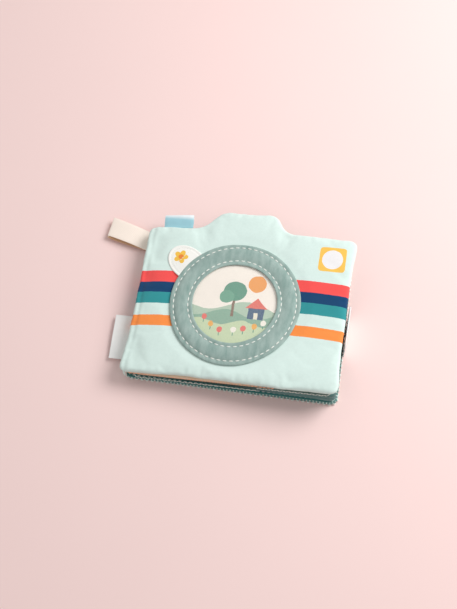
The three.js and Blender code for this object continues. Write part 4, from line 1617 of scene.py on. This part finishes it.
def domed_disc(middle, foot, edge, rise, first, rings):
    """A disc with the picture's radius. Its edge goes from foot up to edge, and its top domes by a rise."""
    shares = np.linspace(first, 0, rings)
    top = [(PICTURE_RADIUS * share, edge + rise * (1 - share ** 2)) for share in shares]
    return spun([(0, middle), (PICTURE_RADIUS, foot), (PICTURE_RADIUS, edge)] + top, DISC_STEPS)


picture_cotton = cotton("printed_picture_cotton", "#fff4e8", country_scene, thread=0.7 * MM, sheen=0.1)
picture = finish_piece(
    domed_disc(0, 0, 0.38 * MM, 0.2 * MM, 0.9, 10), "lens_picture_cloth", picture_cotton, "front_cover",
    lens_place, ("lens_picture",))
window = finish_piece(
    domed_disc(0.72 * MM, 0.68 * MM, 0.95 * MM, 0.35 * MM, 0.95, 12), "lens_window_film", window_vinyl,
    "front_cover", lens_place, ("lens_window",))
print("Picture's radius:", round(PICTURE_RADIUS * 1000, 1), "mm")

# %% [markdown]
# ### The peek tab
# A small padded tab sticks out from under the ring, for a child's fingers to lift. It starts as a disc
# that is stretched to an ellipse and cut in half, then it is pulled out, rounded and topstitched. A flower
# is printed on it.

# %% The peek tab
TAB_REACH = 21 * MM
TAB_WIDTH = 31 * MM
TAB_THICKNESS = 1.5 * MM
TAB_ROOT = 64.6 * MM
TAB_TUCK = 4.6 * MM
TAB_DIRECTION = math.radians(143.6)
TAB_SEAM = 0.84
TAB_STITCH = (1.9 * MM, 0.6 * MM, 0.5 * MM)
TAB_STITCH_PITCH = 2.6 * MM
tab_place = lens_place @ Matrix.Rotation(TAB_DIRECTION, 4, "Z") @ Matrix.Translation((TAB_ROOT, 0, 0))
flower_centre = tab_place @ Vector((8.5 * MM, 0, 0))


def flower_print(tree, where, base):
    """A flower with five petals on the peek tab."""
    centred = add(tree, "ShaderNodeMapping", {"Vector": where, "Location": tuple(-flower_centre)})
    places = add(tree, "ShaderNodeSeparateXYZ", {0: centred.outputs[0]})
    squares = [maths(tree, "MULTIPLY", places.outputs[i], places.outputs[i]) for i in (0, 1)]
    far = maths(tree, "SQRT", maths(tree, "ADD", *squares))
    bearing = maths(tree, "ARCTAN2", places.outputs[1], places.outputs[0])
    petals = maths(tree, "ABSOLUTE", maths(tree, "COSINE", maths(tree, "MULTIPLY", bearing, 2.5)))
    edge = maths(tree, "MULTIPLY_ADD", petals, 2.8 * MM, 4.3 * MM)
    base = mixed(tree, maths(tree, "LESS_THAN", far, edge), base, colour("#f9c64f"))
    return mixed(tree, maths(tree, "LESS_THAN", far, 2.5 * MM), base, colour("#f08a3c"))


start_clean()
bpy.ops.mesh.primitive_circle_add(vertices=64, radius=1, fill_type="NGON", enter_editmode=True)
bpy.ops.transform.resize(value=(TAB_REACH, TAB_WIDTH / 2, 1))
bpy.ops.mesh.select_all(action="SELECT")
bpy.ops.mesh.bisect(plane_co=(0, 0, 0), plane_no=(1, 0, 0), clear_inner=True)
pick("EDGE", lambda edge: all(abs(v.co.x) < NEAR for v in edge.verts))
bpy.ops.mesh.extrude_region_move(TRANSFORM_OT_translate={"value": (-TAB_TUCK, 0, 0)})
bpy.ops.mesh.select_all(action="SELECT")
bpy.ops.mesh.dissolve_limited(angle_limit=0.001)
bpy.ops.object.mode_set(mode="OBJECT")
tab = thicken(bpy.context.object, 0, TAB_THICKNESS)
round_edges(tab, 0.6 * MM)
remesh(tab, 0.7 * MM)
points = points_of(tab)
reach = np.hypot(points[:, 0] / TAB_REACH, points[:, 1] / (TAB_WIDTH / 2))
upper = smoothstep(0.6 * MM, 1.2 * MM, points[:, 2])
points[:, 2] -= 0.3 * MM * upper * np.exp(-((reach - TAB_SEAM) / 0.05) ** 2)
points[:, 2] += 0.5 * MM * upper * (1 - smoothstep(0.1, 0.8, reach))
points[:, 2] += 0.35 * MM * (points[:, 0] / TAB_REACH) ** 2 * np.cos(points[:, 1] / (TAB_WIDTH / 2))
ring_edge = np.sqrt((LENS_RADIUS + 0.15 * MM) ** 2 - np.minimum(np.abs(points[:, 1]), TAB_WIDTH / 2) ** 2)
root = points[:, 0] < 0
points[root, 0] *= ((TAB_ROOT - ring_edge) / TAB_TUCK)[root]
move_points(tab, points)
bpy.context.view_layer.update()
arc = np.linspace(-1.2, 1.2, 26)
path = np.stack([TAB_REACH * TAB_SEAM * np.cos(arc), TAB_WIDTH / 2 * TAB_SEAM * np.sin(arc)], axis=1)
row = running_seam("row", stitch_unit, tab, path, TAB_STITCH_PITCH, TAB_STITCH)
finish_piece(row, "peek_tab_topstitch", white_thread, "peek_tab", tab_place)
tab_cotton = cotton("printed_tab_cotton", "#fbf9f3", flower_print, thread=0.7 * MM)
finish_piece(tab, "peek_tab_cushion", tab_cotton, None, tab_place, ("peek_tab",))
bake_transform(tab)
print("Tab:", len(tab.data.polygons), "faces")

# %% [markdown]
# ## Folded loops and the label
# Three small trims are sewn into the seams: a satin ribbon on the top edge, a cotton tape to hang the album
# by, and a blank label. A folded band is a long grid whose rows follow a drawn line, out and back again.
# Giving the sheet its thickness afterwards keeps both layers and the fold alike.

# %% Folded bands


def folded_band(reach, opening, width, thickness, rise, steps=46, widths=8):
    """A band folded once, from its root at zero out to its reach along -x, with its fold there."""
    start_clean()
    bpy.ops.mesh.primitive_grid_add(x_subdivisions=steps, y_subdivisions=widths, size=1)
    band = bpy.context.object
    points = points_of(band)
    turn = (points[:, 0] + 0.5) * 2 * math.pi
    along = (1 - np.cos(turn)) / 2
    side = np.where(turn < math.pi, 1.0, -1.0)
    belly = np.sin(np.clip(turn, 0, 2 * math.pi)) * (0.5 * opening + 0.5 * thickness)
    swell_share = 0.35 + 0.65 * smoothstep(0.0, 0.55, along)
    crossed = points[:, 1] * width
    points[:, 0] = -reach * along
    points[:, 2] = belly * swell_share + side * 0.12 * MM + rise(along, crossed / width)
    points[:, 1] = crossed
    move_points(band, points)
    apply(band, "SOLIDIFY", thickness=thickness, offset=0)
    round_edges(band, thickness * 0.2, segments=2)
    return band


TRIM_HEIGHT = 4.6 * MM


def lower_layer_painted_shade(tree, where, base):
    """The tape's lower layer is painted darker: painted shade under the upper layer."""
    height = add(tree, "ShaderNodeSeparateXYZ", {0: where}).outputs[2]
    return mixed(tree, maths(tree, "LESS_THAN", height, TRIM_HEIGHT), base, colour("#e3b98f"))


twill = cotton("peach_twill_tape", "#fff0e3", lower_layer_painted_shade, thread=1.1 * MM, relief=0.09 * MM)
# The pale tint near the ribbon's fold is a painted highlight.
blue_satin = satin("blue_satin_ribbon", "#9fd0dc", 0, fold=(86.5 * MM, 90.5 * MM, "#eef8fb"))
white_satin = satin("white_satin_label", "#f8f8f6", 1)
print("Ribbon, tape and label have their finishes")

# %% [markdown]
# ### The ribbon loop
# The ribbon is sewn into the top edge where that edge rises towards the hump, so it leans with it. Near its
# fold the satin is painted paler: a painted highlight where the fold catches the light.

# %% The ribbon loop
RIBBON_WIDTH = 28 * MM
RIBBON_CLOTH = 0.35 * MM
RIBBON_REACH = 13.6 * MM
RIBBON_CENTRE = -72 * MM
RIBBON_SLOPE = math.atan(3 / 35)
RIBBON_SEAM = half_height + (RIBBON_CENTRE + half_width - CORNER_RADIUS) * math.tan(RIBBON_SLOPE)
ribbon = folded_band(
    RIBBON_REACH, 2.6 * MM, RIBBON_WIDTH, RIBBON_CLOTH,
    lambda along, across: 0.35 * MM * along * np.sin(across * 5.0 + 0.6))
ribbon_root = Matrix.Translation((RIBBON_CENTRE, RIBBON_SEAM - 0.6 * MM, FRONT_THICKNESS / 2))
ribbon_place = cover_place @ ribbon_root @ Matrix.Rotation(RIBBON_SLOPE - math.pi / 2, 4, "Z")
finish_piece(
    ribbon, "ribbon_loop_satin", blue_satin, "front_cover", ribbon_place, ("ribbon_loop",))
print("Ribbon:", round(RIBBON_WIDTH * 1000), "by", round(RIBBON_REACH * 1000, 1), "mm")

# %% [markdown]
# ### The hanging loop
# The tape leaves the spine at an angle, and its fold lies askew. Its lower layer has slipped a little, so
# that it shows below the upper one, and it is painted darker: painted shade under the upper layer.

# %% The hanging loop
TAPE_WIDTH = 20 * MM
TAPE_REACH = 41.8 * MM
TAPE_CENTRE = 66 * MM
TAPE_TURN = math.radians(15.9)
TAPE_END_SLANT = 2.6 * MM
TAPE_CLOTH = 0.8 * MM
TAPE_LAYER_SHIFT = 1.5 * MM
tape = folded_band(
    TAPE_REACH, 2.4 * MM, TAPE_WIDTH, TAPE_CLOTH,
    lambda along, across: 0.25 * MM * along * np.sin(across * 4.0 - 0.8), steps=60)
points = points_of(tape)
lower = 1 - smoothstep(-0.4 * MM, 0.4 * MM, points[:, 2])
points[:, 1] -= points[:, 0] * math.tan(TAPE_TURN)
reach = -points[:, 0] / TAPE_REACH
points[:, 0] += TAPE_END_SLANT * reach ** 2 * points_of(tape)[:, 1] / TAPE_WIDTH
points[:, 1] -= TAPE_LAYER_SHIFT * lower * smoothstep(0.05, 0.9, reach)
move_points(tape, points)
tape_place = Matrix.Translation((-half_width + 0.3 * MM, TAPE_CENTRE, TRIM_HEIGHT))
finish_piece(tape, "hanging_loop_tape", twill, "back_cover", tape_place, ("hanging_loop",))
print("Tape:", round(TAPE_WIDTH * 1000), "by", round(TAPE_REACH * 1000, 1), "mm")

# %% [markdown]
# ### The side label
# The label is one grid, bent by a gentle wave and a slight sag, and it is blank.

# %% The side label
LABEL_WIDTH = 18.2 * MM
LABEL_LENGTH = 44.5 * MM
LABEL_CENTRE = -36.3 * MM
LABEL_CLOTH = 0.45 * MM
start_clean()
bpy.ops.mesh.primitive_grid_add(x_subdivisions=20, y_subdivisions=48, size=1)
label = bpy.context.object
label.data.transform(Matrix.Diagonal((LABEL_WIDTH, LABEL_LENGTH, 1, 1)))
points = points_of(label)
outwards = 0.5 - points[:, 0] / LABEL_WIDTH
points[:, 2] += 0.45 * MM * outwards * np.sin(points[:, 1] / LABEL_LENGTH * 5.2 + 0.9)
points[:, 2] -= 0.5 * MM * outwards ** 2
points[:, 0] -= 1.2 * MM * outwards * points[:, 1] / LABEL_LENGTH
move_points(label, points)
apply(label, "SOLIDIFY", thickness=LABEL_CLOTH, offset=0)
round_edges(label, 0.12 * MM, segments=2)
label_place = Matrix.Translation(
    (-half_width + 0.4 * MM - LABEL_WIDTH / 2, LABEL_CENTRE, TRIM_HEIGHT + 0.1 * MM))
finish_piece(
    label, "side_label_satin", white_satin, "back_cover", label_place, ("side_label",))
print("Label:", round(LABEL_WIDTH * 1000, 1), "by", round(LABEL_LENGTH * 1000, 1), "mm")

# %% [markdown]
# ## The closing tab
# A white tab stands against the fore edge and closes the album with a small patch of hooks. It is a padded
# strip with a row of stitches on each face, and its free end bends outwards a little.

# %% The closing tab
CLOSING_WIDTH = 42 * MM
CLOSING_LENGTH = 30 * MM
CLOSING_THICKNESS = 1.4 * MM
CLOSING_CENTRE = -7.7 * MM
CLOSING_FOOT = Vector((100.3 * MM, 0, 1.6 * MM))
CLOSING_LEAN = math.radians(2)
CLOSING_SWAY = 0.5 * MM
STRAP_CORNER = 5 * MM
STRAP_SEAM_GAP = 2.6 * MM
STRAP_SEAM_DIP = 0.22 * MM
STRAP_STITCH = (2.1 * MM, 0.6 * MM, 0.4 * MM)
STRAP_STITCH_PITCH = 2.9 * MM
closing_turn = Matrix.Translation(CLOSING_FOOT) @ Matrix.Rotation(CLOSING_LEAN, 4, "Y")
upright_axes = Matrix(((0, 0, 1, 0), (1, 0, 0, 0), (0, 1, 0, 0), (0, 0, 0, 1)))


def sway(height):
    """How far the free end of the tab has bent outwards, at a height above its foot."""
    return CLOSING_SWAY * smoothstep(0.0, 1.3 * CLOSING_LENGTH, height)


strap = thicken(rounded_plate(CLOSING_WIDTH, CLOSING_LENGTH, STRAP_CORNER), 0, CLOSING_THICKNESS)
round_edges(strap, 0.5 * MM)
remesh(strap, 0.9 * MM)
points = points_of(strap)
edge_gap = depth_inside(points[:, :2], around(CLOSING_WIDTH, CLOSING_LENGTH, STRAP_CORNER))
seam_dip = STRAP_SEAM_DIP * np.exp(-((edge_gap - STRAP_SEAM_GAP) / (0.8 * MM)) ** 2)
points[:, 2] += np.where(points[:, 2] > CLOSING_THICKNESS / 2, -seam_dip, seam_dip)
points[:, 2] += sway(points[:, 1] + CLOSING_LENGTH / 2)
move_points(strap, points)
bpy.context.view_layer.update()
strap_seam = around(CLOSING_WIDTH - 2 * STRAP_SEAM_GAP, CLOSING_LENGTH - 2 * STRAP_SEAM_GAP, 3 * MM)
strap_place = closing_turn @ Matrix.Translation((0, CLOSING_CENTRE, CLOSING_LENGTH / 2)) @ upright_axes
for face, down in [("outer", True), ("inner", False)]:
    row = running_seam("row", stitch_unit, strap, strap_seam, STRAP_STITCH_PITCH, STRAP_STITCH, down)
    finish_piece(
        row, f"closing_tab_{face}_topstitch", white_thread, "closing_tab", strap_place)
white_cotton = cotton("white_strap_cotton", "#fbfaf6", depth=3 * MM)
finish_piece(
    strap, "closing_tab_strap", white_cotton, "closing_tab", strap_place, ("closing_tab",))
print("Strap:", len(strap.data.polygons), "faces")

# %% [markdown]
# ### The hooks
# The patch is moulded black nylon. Its hooks are short bristles, all copies of the stitch, made narrow and
# set out on a grid.

# %% The hooks
HOOK_SIDE = 7 * MM
HOOK_CENTRE = -12.2 * MM
HOOK_DROP = 4.2 * MM
HOOK_SIZE = (0.28 * MM, 0.22 * MM, 0.8 * MM, 1)
HOOK_DEPTH = 0.45 * MM
HOOK_ROWS = np.linspace(-3.0, 3.0, 11)
PATCH_THICKNESS = 0.5 * MM


def nylon(name, dye):
    """Moulded nylon hook tape: black, with a low gloss and a fine grain from its ground weave."""
    finish, tree = empty_finish(name)
    where = add(tree, "ShaderNodeTexCoord").outputs["Object"]
    grain = noise(tree, where, 0.6 * MM, 3.0)
    end_with(tree, {
        "Base Color": shaded(tree, colour(dye), maths(tree, "MULTIPLY_ADD", grain, 0.5, 0.75)),
        "Roughness": maths(tree, "MULTIPLY_ADD", grain, 0.2, 0.45),
        "Normal": relief_of(tree, grain, 0.6, 0.08 * MM), "IOR": 1.53})
    return finish


black_nylon = nylon("black_nylon_hook_tape", "#24242a")
patch = soft_block(HOOK_SIDE, HOOK_SIDE, PATCH_THICKNESS, 0.2 * MM)
patch_height = CLOSING_LENGTH - HOOK_DROP
patch_place = closing_turn @ Matrix.Translation(
    (sway(patch_height) - PATCH_THICKNESS / 2, HOOK_CENTRE, patch_height)) @ upright_axes
finish_piece(patch, "closing_tab_hook_base", black_nylon, "closing_tab", patch_place,
             ("closing_tab_hook_pad",))
bristle_places = [
    Matrix.Translation((across * MM, along * MM, -HOOK_DEPTH)) @ Matrix.Diagonal(HOOK_SIZE)
    for across in HOOK_ROWS for along in HOOK_ROWS]
bristles = sewn_row("hooks", stitch_unit, bristle_places)
finish_piece(bristles, "closing_tab_hooks", black_nylon, "closing_tab", patch_place)
print("Hooks:", len(bristle_places))

# %% [markdown]
# ## Floor and light
# The floor is a pale, warm sheet, and it is part of the stage. A large soft lamp stands to the upper right,
# as the photograph's shadows show, and the world fills the rest, both at a level where a colour
# renders about as it is written.

# %% Floor and light
FILL_LEVEL = 0.5
BACKDROP = "#fbe6e2"
FLOOR_SIDE = 8
PAPER_PATCH = 1 / 6
LAMP_SIZE = 0.9
LAMP_POWER = 16
LAMP_PLACE = Vector((0.85, 0.55, 0.95))


def paper(name, tint):
    """Matt paper of a pale tint, very slightly cloudy."""
    finish, tree = empty_finish(name)
    where = add(tree, "ShaderNodeTexCoord").outputs["Object"]
    clouds = noise(tree, where, PAPER_PATCH, 3.0)
    end_with(tree, {
        "Base Color": shaded(tree, colour(tint), maths(tree, "MULTIPLY_ADD", clouds, 0.03, 0.985)),
        "Roughness": 0.9, "Specular IOR Level": 0.1})
    return finish


start_clean()
bpy.ops.mesh.primitive_plane_add(size=FLOOR_SIDE)
floor = bpy.context.object
floor.name = "floor"
floor.data.materials.append(paper("pale_paper", "#f9dcd8"))
floor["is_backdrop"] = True

lamp = bpy.data.objects.new("key_lamp", bpy.data.lights.new("key_lamp", "AREA"))
bpy.context.collection.objects.link(lamp)
lamp.data.shape = "DISK"
lamp.data.size = LAMP_SIZE
lamp.data.energy = LAMP_POWER
facing = LAMP_PLACE.to_track_quat("Z", "Y").to_matrix().to_4x4()
lamp.matrix_world = Matrix.Translation(LAMP_PLACE) @ facing

world = bpy.data.worlds.new("world")
world.use_nodes = True
bpy.context.scene.world = world
sky = world.node_tree
ray = add(sky, "ShaderNodeLightPath")
seen = maths(sky, "MAXIMUM", ray.outputs["Is Camera Ray"], maths(
    sky, "MAXIMUM", ray.outputs["Is Glossy Ray"], ray.outputs["Is Transmission Ray"]))
level = maths(sky, "MULTIPLY_ADD", seen, 1 - FILL_LEVEL, FILL_LEVEL)
tint = mixed(sky, seen, colour("#ffffff"), colour(BACKDROP))
backdrop = sky.nodes["Background"]
sky.links.new(tint, backdrop.inputs["Color"])
sky.links.new(level, backdrop.inputs["Strength"])
bpy.context.scene.view_settings.view_transform = "Standard"
for unit in (stitch_unit, loop_unit):
    bpy.data.objects.remove(unit)
print("Lamp of", LAMP_POWER, "watts, world at", FILL_LEVEL)

# %% [markdown]
# ## The end
# The finished album's size is measured and printed.

# %% The end
import json

low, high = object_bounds()
print("The album is", [round(float(h - l) * 1000, 1) for l, h in zip(low, high)], "mm")
